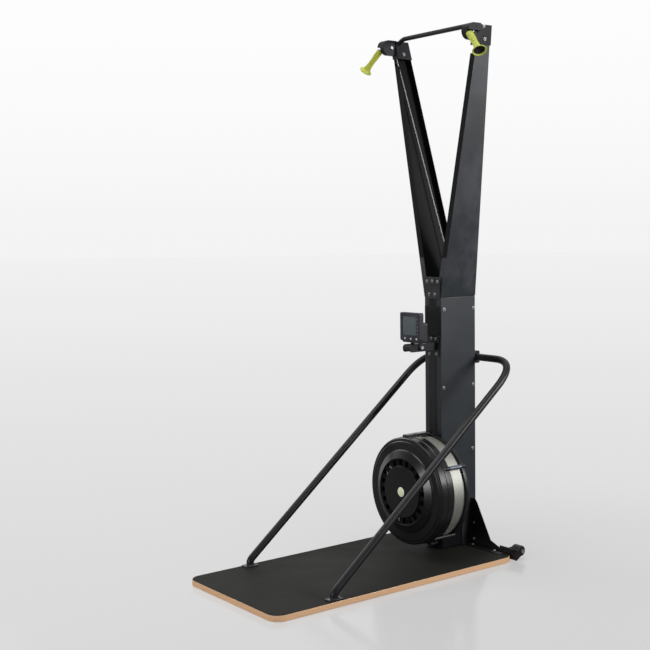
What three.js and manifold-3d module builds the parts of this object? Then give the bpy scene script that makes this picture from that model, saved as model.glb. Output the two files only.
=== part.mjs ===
// A ski trainer: a standing platform, a column with two arms, two pull cords with handles,
// and a fan at the foot of the column whose drums wind the cords.
// Millimetres, +Z up, the user stands on the -Y side. X = 0 is the plane of symmetry.
import * as THREE from "three";
import { mergeVertices } from "three/addons/utils/BufferGeometryUtils.js";
import Module from "manifold-3d";

// Shared: the gap between pieces that touch, how far a cut runs past its wall, steps of a circle.
const fit = 0.3;
const overrun = 6;
const roundSides = 20;
const pinSides = 12;
const pinLimit = 7;
const fanSides = 48;
const cornerSegments = 4;

// Platform: a board with rounded corners under a thin rubber sheet.
const boardWidth = 600;
const boardLength = 1200;
const boardThickness = 22;
const boardCorner = 50;
const matThickness = 1.7;
const matInset = 1;
const deckTop = boardThickness + fit + matThickness;

// Column: an upright channel with a slot between its two front lips.
const columnWidth = 101;
const columnDepth = 196;
const columnSetback = 172;
const columnWall = 3;
const slotWidth = 47;
const seamHeight = 1086;
const columnHalf = columnWidth / 2;
const columnFront = boardLength - columnSetback;
const columnBack = columnFront + columnDepth;
const columnInner = columnHalf - columnWall;
const columnInnerBack = columnBack - columnWall;

// Arms: two tapering channels, open towards each other, with a tongue inside the column.
const armRise = 1064;
const armFlare = 209.5;
const armLean = 13;
const armTopDepth = 66;
const armTongue = 86;
const armShoulder = 6;
const armWindow = 92;
const armFlange = (columnWidth - slotWidth) / 2;
const armTopHeight = seamHeight + armRise;
const armTopSpread = columnHalf + armFlare;
const armTopFront = columnFront + armLean;

// Base bracket: wings, cheeks beside the column, and a flange on the platform.
const bracketPlate = 3;
const bracketInset = 1;
const bracketHeight = 198;
const bracketCrown = 14;
const bracketShoulder = 34.5;
const bracketKnee = 114.5;
const bracketKneeHeight = 36;
const bracketToeInset = 50;
const bracketFlangeDepth = 40;
const bracketCheekDepth = 60;
const columnBottom = deckTop + fit + bracketPlate + fit;

// Front plates of the column, measured from the seam between the column and the arms.
const frontPlate = 3;
const coverInset = 4.5;
const coverDrop = 37;
const coverHeight = 122;
const junctionInset = 5.5;
const junctionTopWidth = 104;
const junctionDrop = 6;
const junctionHeight = 90;

// Housings over the arm tops: a cap, a nose for the pulley, and a lip over the handle.
const capWall = 3;
const capDrop = 60;
const capRoof = 15;
const noseRadius = 31;
const noseForward = 38;
const noseWidth = 23;
const lipReach = 18;
const lipHeight = 29;
const mouthRadius = 9;

// Top pulleys and their pins, in the middle of the arm's flange.
const topPulleyForward = 24.5;
const topPulleyDrop = 14;
const topPulleyRadius = 25;
const grooveDepth = 5;
const pulleyWidth = 12;
const pinRadius = 4;
const pinHead = 7;
const pinHeadThickness = 3.5;
const topPulleyX = armTopSpread - armFlange / 2;
const topPulleyY = armTopFront - topPulleyForward;
const topPulleyZ = armTopHeight - topPulleyDrop;

// Crossbar between the arm tops.
const crossbarRadius = 9.5;
const crossbarSetback = 11;
const crossbarRise = 20;
const crossbarBend = 38;
const crossbarDip = 22;

// Handles: a slim grip with a wide oval rim, hung from its cord beside the top pulley.
const handleOut = 27.2;
const handleForward = 35.2;
const handleDrop = 16.1;
const handleAxis = [0.683, -0.185, -0.707];
const handleLength = 106;
const gripRadius = 9;
const rimRadius = 25;
const rimStretchShare = 1.24;
const rimDepth = 11;
const handleTop = [topPulleyX + handleOut, topPulleyY - handleForward, topPulleyZ - handleDrop];

// Cords, drums and guide pulleys.
const cordRadius = 2.5;
const drumRadius = 30;
const drumGroove = 21.2;
const drumWidth = 22;
const drumSetback = 34;
const drumPitch = 30;
const guideDrop = 16;
const guideCordX = 14;
const guideRadius = 14;
const guideGrooveDepth = 3;
const guideWidth = 10;
const guidePlateHeight = 44;
const bracketSideRoom = 5.5;
const cordPath = cordRadius + fit;
const drumY = { left: columnBack - drumSetback, right: columnBack - drumSetback - drumPitch };
const guideZ = seamHeight - guideDrop;
const guideReach = guideRadius - guideGrooveDepth + cordPath;
const guideX = guideCordX + guideReach;
const innerPlateHalf = columnInner - bracketSideRoom;

// Return cord and its pulley.
const returnDrop = 216;
const returnRadius = 26;
const returnPlateHeight = 70;
const returnZ = seamHeight - returnDrop;

// Fan: radii of the steps from the rim inwards, then depths from the column forwards.
const fanRadius = 225;
const rimWidth = 20;
const stepWidth = 35;
const chamferWidth = 33;
const intakeWidth = 31;
const bandInset = 10;
const bandWall = 1.5;
const fanWall = 2.5;
const fanClearance = 41;
const mountPlateWall = 9.4;
const backRimDepth = 18;
const bandWidth = 65;
const coverDepth = 65;
const rimStep = 8;
const chamferDepth = 16;
const intakeRecess = 6;
const backPlate = 5;
const backHole = 30;
const bossRadius = 9;
const bossEar = 22;
const topBossWidth = 52;
const topBossHeight = 21;
const intakeSlots = 20;
const slotShare = 0.5;
const slotMargin = 4;
const capRadius = 20;
const capThickness = 5;
const damperThickness = 2;
const damperLever = 12;
const damperLeverRadius = 2.5;
const rimInnerRadius = fanRadius - rimWidth;
const chamferRadius = rimInnerRadius - stepWidth;
const intakeRadius = chamferRadius - chamferWidth;
const discRadius = intakeRadius - intakeWidth;
const bandRadius = fanRadius - bandInset;
const fanZ = deckTop + fanClearance + fanRadius;
const fanBackY = columnFront - fit - mountPlateWall - fit;
const backRimY = fanBackY - backRimDepth;
const coverEdgeY = backRimY - bandWidth;
const frontRimY = coverEdgeY - coverDepth;
const chamferY = frontRimY - rimStep;
const discY = chamferY - chamferDepth;

// Flywheel, shaft, bearings and the plate that carries the fan.
const shaftRadius = 8;
const shaftNose = 6;
const shaftEndRoom = 5;
const flywheelSideRoom = 17;
const flywheelHub = 26;
const flywheelFrontRoom = 7;
const flywheelBackRoom = 4;
const flywheelDisc = 4;
const bladeCount = 24;
const bladeLength = 86;
const bladeWall = 2.4;
const bearingRadius = 21;
const bearingFlange = 30;
const bearingFlangeWall = 3;
const rearBearingLength = 16;
const mountPlateInset = 4.5;
const mountPlateHeight = 190;
const flywheelRadius = bandRadius - flywheelSideRoom;
const flywheelFront = coverEdgeY - flywheelFrontRoom;
const flywheelBack = backRimY - flywheelBackRoom;

// Braces: bent tubes from foot plates up to a clamp behind the column.
const braceRadius = 15;
const braceSides = 12;
const braceInset = 23;
const braceFootY = 278;
const braceDrop = 263;
const braceKneeForward = 40;
const braceKneeHeight = 56.6;
const braceBend = 85;
const braceFootWidth = 40;
const braceFootLength = 64;
const braceFootWall = 4;
const clampWidth = 84;
const clampHeight = 52;
const clampWall = 3;
const braceX = boardWidth / 2 - braceInset;
const braceHeight = seamHeight - braceDrop;
const clampY = columnBack + fit + braceRadius;
const clampBack = clampY + braceRadius + fit + clampWall;

// Transport wheels behind the back corners of the board.
const wheelRadius = 22;
const wheelWidth = 40;
const wheelInset = 14;
const wheelBackRoom = 8.7;
const wheelLift = 15;
const wheelHubRadius = 12;
const wheelDish = 4;
const wheelClearance = 1.5;
const axleRadius = 5;
const wheelPlate = 4;
const wheelWebReach = 86;
const wheelWebRise = 26;
const wheelWebBottom = 3;
const wheelX = boardWidth / 2 - wheelInset;
const wheelY = boardLength + fit + wheelPlate + wheelBackRoom + wheelRadius;
const wheelZ = wheelLift + wheelRadius;

// Display: its tilt axis, shells, screen, buttons, bracket and knob.
const pivotDrop = 203;
const pivotForward = 90;
const pivotRadius = 4.7;
const displayLead = 38;
const displayWidth = 120;
const displayRise = 29;
const displayHeight = 116;
const displayFrontDepth = 9;
const displayDepth = 22;
const displayDeepDepth = 45;
const displayDeepDrop = 41;
const displayDeepOverhang = 8;
const displayCorner = 7;
const displayWall = 2.5;
const screenLeftMargin = 13;
const screenRightMargin = 22;
const screenBottomMargin = 23;
const screenTopMargin = 16;
const screenSink = 1.6;
const screenThickness = 3;
const bottomButtonRadius = 4.8;
const bottomButtonShares = [-0.5, 0.1, 0.68];
const bottomButtonRise = 9;
const sideButtonRadius = 3.4;
const sideButtonInset = 11;
const sideButtonCount = 5;
const sideButtonRise = 7;
const sideButtonStep = 15;
const buttonProud = 2.5;
const buttonCollar = 1;
const buttonCollarWall = 1.5;
const lugRadius = 11;
const lugWall = 4;
const beamHalfWidth = 22;
const beamLead = 20;
const beamRise = 15;
const beamDrop = 17;
const beamNose = 12;
const flangeWidth = 80;
const flangeRise = 22;
const flangeDrop = 28;
const knobRadius = 7.5;
const knobLength = 9;
const pivotY = columnFront - pivotForward;
const pivotZ = seamHeight - pivotDrop;
const displayY = pivotY - displayLead;
const displayBottom = pivotZ + displayRise;
const displayTop = displayBottom + displayHeight;
const screenBottom = displayBottom + screenBottomMargin;

const overallLength = Math.max(wheelY + wheelRadius, clampBack);
const sides = { left: -1, right: 1 };

const wasm = await Module();
wasm.setup();

const finish = {
  ply: new THREE.MeshStandardMaterial({ color: 0xc99a63, roughness: 0.6 }),
  rubber: new THREE.MeshStandardMaterial({ color: 0x1d1d1f, roughness: 0.9 }),
  panel: new THREE.MeshStandardMaterial({ color: 0x2c3138, roughness: 0.45, metalness: 0.3 }),
  black: new THREE.MeshStandardMaterial({ color: 0x17181a, roughness: 0.5, metalness: 0.2 }),
  plastic: new THREE.MeshStandardMaterial({ color: 0x1f2124, roughness: 0.55 }),
  pulley: new THREE.MeshStandardMaterial({ color: 0x3a3c40, roughness: 0.5 }),
  steel: new THREE.MeshStandardMaterial({ color: 0xb8bcc0, roughness: 0.3, metalness: 1 }),
  band: new THREE.MeshStandardMaterial({ color: 0xc9cbc8, roughness: 0.35, metalness: 0.9 }),
  lime: new THREE.MeshStandardMaterial({ color: 0xb4be2c, roughness: 0.5 }),
  cord: new THREE.MeshStandardMaterial({ color: 0xa9aba8, roughness: 0.8 }),
  cap: new THREE.MeshStandardMaterial({ color: 0xdfe6cf, roughness: 0.4 }),
  screen: new THREE.MeshStandardMaterial({ color: 0x6f7d78, roughness: 0.2 }),
  button: new THREE.MeshStandardMaterial({ color: 0xa7a9b4, roughness: 0.5 }),
};

// The whole machine. Its origin is on the floor, below the middle of its length.
const machine = new THREE.Group();
machine.position.y = -overallLength / 2;

// A closed solid from any closed geometry, with its faces pointing out.
function solidOf(geometry) {
  const plain = geometry.index ? geometry.toNonIndexed() : geometry.clone();
  plain.deleteAttribute("normal");
  plain.deleteAttribute("uv");
  const merged = mergeVertices(plain);
  const place = merged.getAttribute("position");
  const corner = (index) => new THREE.Vector3().fromBufferAttribute(place, index);
  const faces = [];
  let volume = 0;
  const all = merged.getIndex().array;
  for (let i = 0; i < all.length; i += 3) {
    const [a, b, c] = all.slice(i, i + 3);
    if (a === b || b === c || c === a) continue;
    faces.push(a, b, c);
    volume += corner(a).dot(corner(b).cross(corner(c)));
  }
  if (volume < 0) faces.reverse();
  const triVerts = new Uint32Array(faces);
  return new wasm.Manifold(new wasm.Mesh({ numProp: 3, vertProperties: place.array, triVerts }));
}

function joined(first, ...others) {
  return others.reduce((whole, other) => whole.add(other), first);
}

function cut(whole, ...tools) {
  return tools.reduce((left, tool) => left.subtract(tool), whole);
}

// One named sub-part of the machine.
function piece(name, solid, material) {
  const { vertProperties, triVerts } = solid.getMesh();
  const geometry = new THREE.BufferGeometry();
  geometry.setAttribute("position", new THREE.BufferAttribute(vertProperties, 3));
  geometry.setIndex(new THREE.BufferAttribute(triVerts, 1));
  geometry.computeVertexNormals();
  const mesh = new THREE.Mesh(geometry, material);
  mesh.name = name;
  machine.add(mesh);
}

// A box between two corners.
function block([x0, y0, z0], [x1, y1, z1]) {
  const box = new THREE.BoxGeometry(x1 - x0, y1 - y0, z1 - z0);
  return solidOf(box.translate((x0 + x1) / 2, (y0 + y1) / 2, (z0 + z1) / 2));
}

// A block whose floor and roof are different rectangles, each given as x0, x1, y0, y1, z.
function taper(floor, roof) {
  const box = new THREE.BoxGeometry(1, 1, 1);
  const place = box.getAttribute("position");
  const between = THREE.MathUtils.lerp;
  for (let i = 0; i < place.count; i++) {
    const u = place.getX(i) + 0.5;
    const v = place.getY(i) + 0.5;
    const w = place.getZ(i) + 0.5;
    const x = between(between(floor[0], floor[1], u), between(roof[0], roof[1], u), w);
    const y = between(between(floor[2], floor[3], v), between(roof[2], roof[3], v), w);
    place.setXYZ(i, x, y, between(floor[4], roof[4], w));
  }
  return solidOf(box);
}

// A solid turned about an axis. The profile holds pairs of radius and place along the axis.
function turned(axis, profile, centre = [0, 0, 0], steps = roundSides) {
  const outline = profile.map(([radius, along]) => new THREE.Vector2(radius, along));
  const lathe = new THREE.LatheGeometry(outline, steps);
  if (axis === "x") lathe.rotateZ(-Math.PI / 2);
  if (axis === "z") lathe.rotateX(Math.PI / 2);
  return solidOf(lathe.translate(...centre));
}

function rod(axis, radius, from, to, centre, steps = radius > pinLimit ? roundSides : pinSides) {
  return turned(axis, [[0, from], [radius, from], [radius, to], [0, to]], centre, steps);
}

function ring(axis, outer, inner, from, to, centre, steps) {
  const profile = [[inner, from], [outer, from], [outer, to], [inner, to], [inner, from]];
  return turned(axis, profile, centre, steps);
}

// A sheet cut to an outline: (x, y) along z, (x, z) along y, or (y, z) along x.
const alongX = new THREE.Matrix4().set(0, 0, 1, 0, 1, 0, 0, 0, 0, 1, 0, 0, 0, 0, 0, 1);
function sheet(axis, shape, from, to) {
  const settings = { depth: to - from, bevelEnabled: false, curveSegments: cornerSegments };
  const geometry = new THREE.ExtrudeGeometry(shape, settings);
  if (axis === "x") geometry.applyMatrix4(alongX).translate(from, 0, 0);
  if (axis === "y") geometry.rotateX(Math.PI / 2).translate(0, to, 0);
  if (axis === "z") geometry.translate(0, 0, from);
  return solidOf(geometry);
}

function outline(points) {
  return new THREE.Shape(points.map(([u, v]) => new THREE.Vector2(u, v)));
}

function roundedBox(u0, v0, u1, v1, radius) {
  const shape = new THREE.Shape();
  shape.absarc(u1 - radius, v0 + radius, radius, -Math.PI / 2, 0);
  shape.absarc(u1 - radius, v1 - radius, radius, 0, Math.PI / 2);
  shape.absarc(u0 + radius, v1 - radius, radius, Math.PI / 2, Math.PI);
  shape.absarc(u0 + radius, v0 + radius, radius, Math.PI, 1.5 * Math.PI);
  return shape;
}

// A path with one step for each of its points: none along a straight run, many round a bend.
class Route extends THREE.Curve {
  constructor(points) {
    super();
    this.points = points.map((point) => new THREE.Vector3(...point));
  }
  getPointAt(share, target = new THREE.Vector3()) {
    const at = share * (this.points.length - 1);
    const first = Math.min(Math.floor(at), this.points.length - 2);
    return target.lerpVectors(this.points[first], this.points[first + 1], at - first);
  }
  getTangentAt(share, target = new THREE.Vector3()) {
    const at = Math.round(share * (this.points.length - 1));
    const before = this.points[Math.max(at - 1, 0)];
    const after = this.points[Math.min(at + 1, this.points.length - 1)];
    const here = this.points[at];
    target.subVectors(here, before).normalize();
    return target.add(after.clone().sub(here).normalize()).normalize();
  }
}

function tube(points, radius, count) {
  const section = [];
  for (let i = 0; i < count; i++) {
    const angle = (2 * Math.PI * i) / count;
    section.push([radius * Math.cos(angle), radius * Math.sin(angle)]);
  }
  const settings = { steps: points.length - 1, extrudePath: new Route(points) };
  return solidOf(new THREE.ExtrudeGeometry(outline(section), settings));
}

// The plywood board and the sheet on it.
function platform() {
  const half = boardWidth / 2;
  const board = roundedBox(-half, 0, half, boardLength, boardCorner);
  piece("platform_board", sheet("z", board, 0, boardThickness), finish.ply);
  const edge = half - matInset;
  const back = boardLength - matInset;
  const mat = roundedBox(-edge, matInset, edge, back, boardCorner - matInset);
  piece("platform_mat", sheet("z", mat, boardThickness + fit, deckTop), finish.rubber);
}

// The column: a box open in a slot between its front lips.
function column() {
  const shell = block([-columnHalf, columnFront, columnBottom], [columnHalf, columnBack, seamHeight]);
  const room = block(
    [-columnInner, columnFront + columnWall, columnBottom - overrun],
    [columnInner, columnInnerBack, seamHeight + overrun],
  );
  const slot = block(
    [-slotWidth / 2, columnFront - overrun, columnBottom - overrun],
    [slotWidth / 2, columnFront + columnWall + overrun, seamHeight + overrun],
  );
  piece("column_channel", cut(shell, room, slot), finish.panel);
}

// Where the outer face, the front and the back of an arm lie at a height.
function armAt(height) {
  const share = (height - seamHeight) / (armTopHeight - seamHeight);
  const between = THREE.MathUtils.lerp;
  return {
    outer: between(columnHalf, armTopSpread, share),
    front: between(columnFront, armTopFront, share),
    back: between(columnBack, armTopFront + armTopDepth, share),
  };
}

// A block that follows an arm from one height to another, drawn in or let out on each side.
function armBlock(side, from, to, { inside, outside, front, back }) {
  const at = (height) => {
    const arm = armAt(height);
    const across = [side * (arm.outer - inside), side * (arm.outer + outside)];
    return [...across, arm.front - front, arm.back + back, height];
  };
  return taper(at(from), at(to));
}

// The arms: tapering channels whose tongues stand inside the column.
function arms() {
  for (const [name, side] of Object.entries(sides)) {
    const low = seamHeight + fit;
    const body = armBlock(side, low, armTopHeight, { inside: armFlange, outside: 0, front: 0, back: 0 });
    const hollow = armBlock(side, low - overrun, armTopHeight + overrun, {
      inside: armFlange + overrun,
      outside: -columnWall,
      front: -columnWall,
      back: -columnWall,
    });
    const window = armBlock(side, armTopHeight - armWindow, armTopHeight + overrun, {
      inside: armFlange + overrun,
      outside: -columnWall,
      front: overrun,
      back: -columnWall,
    });
    const tongueOut = columnInner - fit;
    const tongueIn = slotWidth / 2;
    const tongueFront = columnFront + columnWall + fit;
    const tongueBack = columnInnerBack - fit;
    const tongue = block(
      [side * tongueIn, tongueFront, seamHeight - armTongue],
      [side * tongueOut, tongueBack, low + armShoulder],
    );
    const tongueRoom = block(
      [side * (tongueIn - overrun), tongueFront + columnWall, seamHeight - armTongue - overrun],
      [side * (tongueOut - columnWall), tongueBack - columnWall, low + armShoulder + overrun],
    );
    const arm = joined(cut(body, hollow, window), cut(tongue, tongueRoom));
    piece("arm_" + name, arm, finish.panel);
  }
}

// The bracket at the column's foot: two wings, two cheeks and the flange that is bolted down.
function baseBracket() {
  const bottom = deckTop + fit;
  const top = deckTop + bracketHeight;
  const plane = boardLength - bracketInset;
  const toe = boardWidth / 2 - bracketToeInset;
  const inner = columnHalf + fit;
  const outer = inner + bracketPlate;
  const parts = [];
  for (const side of Object.values(sides)) {
    const wing = new THREE.Shape();
    wing.moveTo(side * inner, bottom);
    wing.lineTo(side * toe, bottom);
    wing.lineTo(side * toe, bottom + bracketPlate);
    wing.lineTo(side * (columnHalf + bracketKnee), deckTop + bracketKneeHeight);
    wing.lineTo(side * (columnHalf + bracketShoulder), top - bracketCrown);
    wing.lineTo(side * (columnHalf + bracketShoulder - bracketCrown), top);
    wing.lineTo(side * inner, top);
    parts.push(sheet("y", wing, plane - bracketPlate, plane));
    parts.push(
      block(
        [side * inner, plane - bracketCheekDepth, bottom],
        [side * outer, plane, top - bracketCrown],
      ),
    );
  }
  const flange = block(
    [-toe, plane - bracketFlangeDepth, bottom],
    [toe, plane, bottom + bracketPlate],
  );
  piece("base_bracket", joined(flange, ...parts), finish.black);
}

// The plate over the fork of the column and the cover below it.
function frontPlates() {
  const back = columnFront - fit;
  const front = back - frontPlate;
  const coverHalf = columnHalf - coverInset;
  const coverTop = seamHeight - coverDrop;
  const cover = roundedBox(-coverHalf, coverTop - coverHeight, coverHalf, coverTop, frontPlate);
  piece("column_cover", sheet("y", cover, front, back), finish.black);
  const junctionHalf = columnHalf - junctionInset;
  const junctionBottom = seamHeight - junctionDrop;
  const junctionTop = junctionBottom + junctionHeight;
  const junction = outline([
    [-junctionHalf, junctionBottom],
    [junctionHalf, junctionBottom],
    [junctionTopWidth / 2, junctionTop],
    [-junctionTopWidth / 2, junctionTop],
  ]);
  piece("junction_plate", sheet("y", junction, front, back), finish.black);
}

// The cap over an arm top, with a nose that holds the pulley and a lip above the handle.
function capEnvelope(side, spare) {
  const wall = fit + capWall + spare;
  const all = { inside: armFlange + wall, outside: wall, front: wall, back: wall };
  return armBlock(side, armTopHeight - capDrop - spare, armTopHeight + capRoof + spare, all);
}

function noseShape(radius, tail) {
  const centreY = armTopFront - noseForward;
  const shape = new THREE.Shape();
  shape.moveTo(armTopFront + tail, topPulleyZ - radius);
  shape.lineTo(armTopFront + tail, topPulleyZ + radius);
  shape.lineTo(centreY, topPulleyZ + radius);
  shape.absarc(centreY, topPulleyZ, radius, Math.PI / 2, 1.5 * Math.PI);
  return shape;
}

function pulleyHousings() {
  for (const [name, side] of Object.entries(sides)) {
    const room = armBlock(side, armTopHeight - capDrop - overrun, armTopHeight + fit, {
      inside: armFlange + fit,
      outside: fit,
      front: fit,
      back: fit,
    });
    const noseIn = topPulleyX - noseWidth / 2;
    const noseOut = topPulleyX + noseWidth / 2;
    const nose = sheet("x", noseShape(noseRadius, capWall), side * noseIn, side * noseOut);
    const lipFloor = topPulleyZ + noseRadius - lipHeight;
    const brim = sheet("x", noseShape(noseRadius, 0), side * noseOut, side * (noseOut + lipReach));
    const upper = block(
      [side * (noseOut - overrun), armTopFront - noseForward - 2 * noseRadius, lipFloor],
      [side * (noseOut + lipReach + overrun), armTopFront + overrun, lipFloor + 2 * noseRadius],
    );
    const pulleyRoom = sheet(
      "x",
      noseShape(noseRadius - capWall, capWall + overrun),
      side * (noseIn + capWall),
      side * (noseOut - capWall),
    );
    const mouth = rod("x", mouthRadius, side * (noseOut - overrun), side * (noseOut + overrun), [
      0,
      handleTop[1] + mouthRadius / 2,
      handleTop[2] + mouthRadius,
    ]);
    const bore = rod("x", pinRadius + fit, side * (noseIn - overrun), side * (noseOut + overrun), [
      0,
      topPulleyY,
      topPulleyZ,
    ]);
    const shell = joined(capEnvelope(side, 0), nose, brim.intersect(upper));
    piece("pulley_housing_" + name, cut(shell, room, pulleyRoom, mouth, bore), finish.black);
  }
}

// The grooved top pulleys and the headed pins that they turn on.
function groovedWheel(axis, radius, groove, width, bore, centre) {
  const half = width / 2;
  const flat = (half - cordRadius - fit) / 2;
  const profile = [
    [bore, -half],
    [radius, -half],
    [radius, -half + flat],
    [groove, -cordRadius],
    [groove, cordRadius],
    [radius, half - flat],
    [radius, half],
    [bore, half],
    [bore, -half],
  ];
  return turned(axis, profile, centre);
}

function topPulleys() {
  for (const [name, side] of Object.entries(sides)) {
    const centre = [side * topPulleyX, topPulleyY, topPulleyZ];
    const groove = topPulleyRadius - grooveDepth;
    const pulley = groovedWheel("x", topPulleyRadius, groove, pulleyWidth, pinRadius + fit, centre);
    piece("top_pulley_" + name, pulley, finish.pulley);
    const noseHalf = noseWidth / 2;
    const pin = joined(
      rod("x", pinRadius, -noseHalf - fit - pinHeadThickness, noseHalf, [0, 0, 0]),
      rod("x", pinHead, -noseHalf - fit - pinHeadThickness, -noseHalf - fit, [0, 0, 0]),
    );
    const place = new THREE.Matrix4().makeScale(side, 1, 1).setPosition(...centre);
    piece("pulley_pin_" + name, pin.transform(place.toArray()), finish.steel);
  }
}

// The bar between the arm tops, bent down at both ends to the caps.
function crossbar() {
  const capInner = armTopSpread - armFlange - capWall;
  const y = armTopFront + crossbarSetback;
  const top = armTopHeight + crossbarRise;
  const half = [
    [capInner + crossbarRadius, y, top - crossbarDip],
    [capInner - crossbarRadius / 2, y, top - crossbarDip / 2],
    [capInner - 0.66 * crossbarBend, y, top - crossbarDip / 7],
    [capInner - crossbarBend, y, top],
  ];
  const mirrored = half.map(([x, along, z]) => [-x, along, z]).reverse();
  const bar = tube([...half, ...mirrored], crossbarRadius, roundSides / 2);
  piece("crossbar", cut(bar, capEnvelope(1, fit), capEnvelope(-1, fit)), finish.black);
}

// The handles: turned about their own axis, then widened into an oval.
function handles() {
  const profile = [
    [0, 0],
    [0.75 * gripRadius, 0],
    [gripRadius, gripRadius / 2],
    [gripRadius, 0.2 * handleLength],
    [0.9 * gripRadius, 0.5 * handleLength],
    [1.05 * gripRadius, 0.75 * handleLength],
    [1.4 * gripRadius, handleLength - 1.4 * rimDepth],
    [0.8 * rimRadius, handleLength - 0.7 * rimDepth],
    [rimRadius, handleLength - 0.4 * rimDepth],
    [rimRadius, handleLength - 0.1 * rimDepth],
    [0.9 * rimRadius, handleLength],
    [0.7 * rimRadius, handleLength - 0.35 * rimDepth],
    [0.35 * rimRadius, handleLength - rimDepth],
    [0, handleLength - rimDepth],
  ];
  for (const [name, side] of Object.entries(sides)) {
    const axis = new THREE.Vector3(...handleAxis).normalize();
    const across = new THREE.Vector3(0, 0, 1).cross(axis).normalize();
    const frame = new THREE.Matrix4().makeBasis(across, axis, across.clone().cross(axis));
    const place = new THREE.Matrix4()
      .makeScale(side, 1, 1)
      .multiply(frame.setPosition(...handleTop))
      .multiply(new THREE.Matrix4().makeScale(rimStretchShare, 1, 1));
    piece("handle_" + name, turned("y", profile).transform(place.toArray()), finish.lime);
  }
}

// Angles in equal steps from one to another, both ends included.
function angles(from, to, steps) {
  const { degToRad, lerp } = THREE.MathUtils;
  return Array.from({ length: steps + 1 }, (_, i) => degToRad(lerp(from, to, i / steps)));
}

// The pull cords: off the drum, round the guide pulley, up the arm, over the top pulley to the handle.
function driveCords() {
  const { radToDeg } = THREE.MathUtils;
  const drumReach = drumGroove + cordPath;
  const topReach = topPulleyRadius - grooveDepth + cordPath;
  const rise = topPulleyZ - guideZ;
  const outward = radToDeg(Math.atan2(topPulleyX - guideCordX, rise));
  const axis = new THREE.Vector3(...handleAxis).normalize();
  const top = new THREE.Vector3(...handleTop);
  for (const [name, side] of Object.entries(sides)) {
    const y = drumY[name];
    const forward = radToDeg(Math.atan2(y - topPulleyY - topReach, rise));
    const route = [[drumReach, y, fanZ]];
    for (const angle of angles(180, 180 - outward, 3)) {
      route.push([guideX + guideReach * Math.cos(angle), y, guideZ + guideReach * Math.sin(angle)]);
    }
    const wrap = angles(forward, 150, 10);
    const below = 0.66 * topPulleyRadius;
    route.push([
      topPulleyX,
      topPulleyY + topReach * Math.cos(wrap[0]) + below * Math.tan(wrap[0]),
      topPulleyZ + topReach * Math.sin(wrap[0]) - below,
    ]);
    for (const angle of wrap) {
      const across = topReach * Math.cos(angle);
      route.push([topPulleyX, topPulleyY + across, topPulleyZ + topReach * Math.sin(angle)]);
    }
    const leave = new THREE.Vector3(...route.at(-1));
    const slack = 2 * cordRadius;
    const corner = new THREE.Vector3(topPulleyX, handleTop[1] + slack, topPulleyZ - slack);
    const arrive = top.clone().addScaledVector(axis, -3 * cordRadius);
    const bend = new THREE.QuadraticBezierCurve3(
      leave.lerp(corner, 0.6),
      corner,
      corner.clone().lerp(arrive, 0.5),
    );
    route.push(...bend.getPoints(5).map((point) => point.toArray()));
    route.push(arrive.toArray(), top.clone().addScaledVector(axis, -fit).toArray());
    const mirrored = route.map(([x, along, z]) => [side * x, along, z]);
    piece("drive_cord_" + name, tube(mirrored, cordRadius, 8), finish.cord);
  }
}

// The guide pulleys below the fork, on the two pins of a bracket behind them.
function guides() {
  const back = columnInnerBack - fit - columnWall - fit;
  const half = guidePlateHeight / 2;
  const plate = roundedBox(-innerPlateHalf, guideZ - half, innerPlateHalf, guideZ + half, columnWall);
  const parts = [];
  for (const [name, side] of Object.entries(sides)) {
    const centre = [side * guideX, drumY[name], guideZ];
    const groove = guideRadius - guideGrooveDepth;
    const pulley = groovedWheel("y", guideRadius, groove, guideWidth, pinRadius + fit, centre);
    piece("guide_pulley_" + name, pulley, finish.pulley);
    const front = drumY[name] - guideWidth / 2 - fit - columnWall;
    parts.push(rod("y", pinRadius, front, back - columnWall / 2, [side * guideX, 0, guideZ]));
  }
  piece("guide_bracket", joined(sheet("y", plate, back - columnWall, back), ...parts), finish.steel);
}

// The drums on the shaft, one for each pull cord.
function drums() {
  for (const name of Object.keys(sides)) {
    const centre = [0, drumY[name], fanZ];
    const drum = groovedWheel("y", drumRadius, drumGroove, drumWidth, shaftRadius + fit, centre);
    piece("cord_drum_" + name, drum, finish.plastic);
  }
}

// The elastic cord that winds both drums back, over one pulley in the column.
function returnLine() {
  const reach = drumGroove + cordPath;
  const middle = (drumY.left + drumY.right) / 2;
  const over = angles(0, 180, 12).map((angle) => [
    reach * Math.cos(angle),
    middle,
    returnZ + reach * Math.sin(angle),
  ]);
  const route = [[reach, drumY.left, fanZ], ...over, [-reach, drumY.right, fanZ]];
  piece("return_cord", tube(route, cordRadius, 8), finish.black);
  const centre = [0, middle, returnZ];
  const pulley = groovedWheel("y", returnRadius, drumGroove, pulleyWidth, pinRadius + fit, centre);
  piece("return_pulley", pulley, finish.pulley);
  const back = columnInnerBack - fit;
  const half = returnPlateHeight / 2;
  const plate = roundedBox(-innerPlateHalf, returnZ - half, innerPlateHalf, returnZ + half, columnWall);
  const front = middle - pulleyWidth / 2 - fit - columnWall;
  const pin = rod("y", pinRadius, front, back - columnWall / 2, [0, 0, returnZ]);
  piece("return_bracket", joined(sheet("y", plate, back - columnWall, back), pin), finish.steel);
}

// A window in the intake, as a part of a ring between two angles.
function intakeWindow(from, to) {
  const inner = discRadius + slotMargin;
  const outer = intakeRadius - slotMargin;
  const points = [
    ...angles(from, to, 3).map((angle) => [inner * Math.cos(angle), fanZ + inner * Math.sin(angle)]),
    ...angles(to, from, 3).map((angle) => [outer * Math.cos(angle), fanZ + outer * Math.sin(angle)]),
  ];
  return outline(points);
}

// Where the four round bosses of the fan stand, a fifth of a turn apart, beside the top one.
const bossAngles = [1, 2, 3, 4].map((step) => 90 + (step * 360) / 5);

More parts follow.
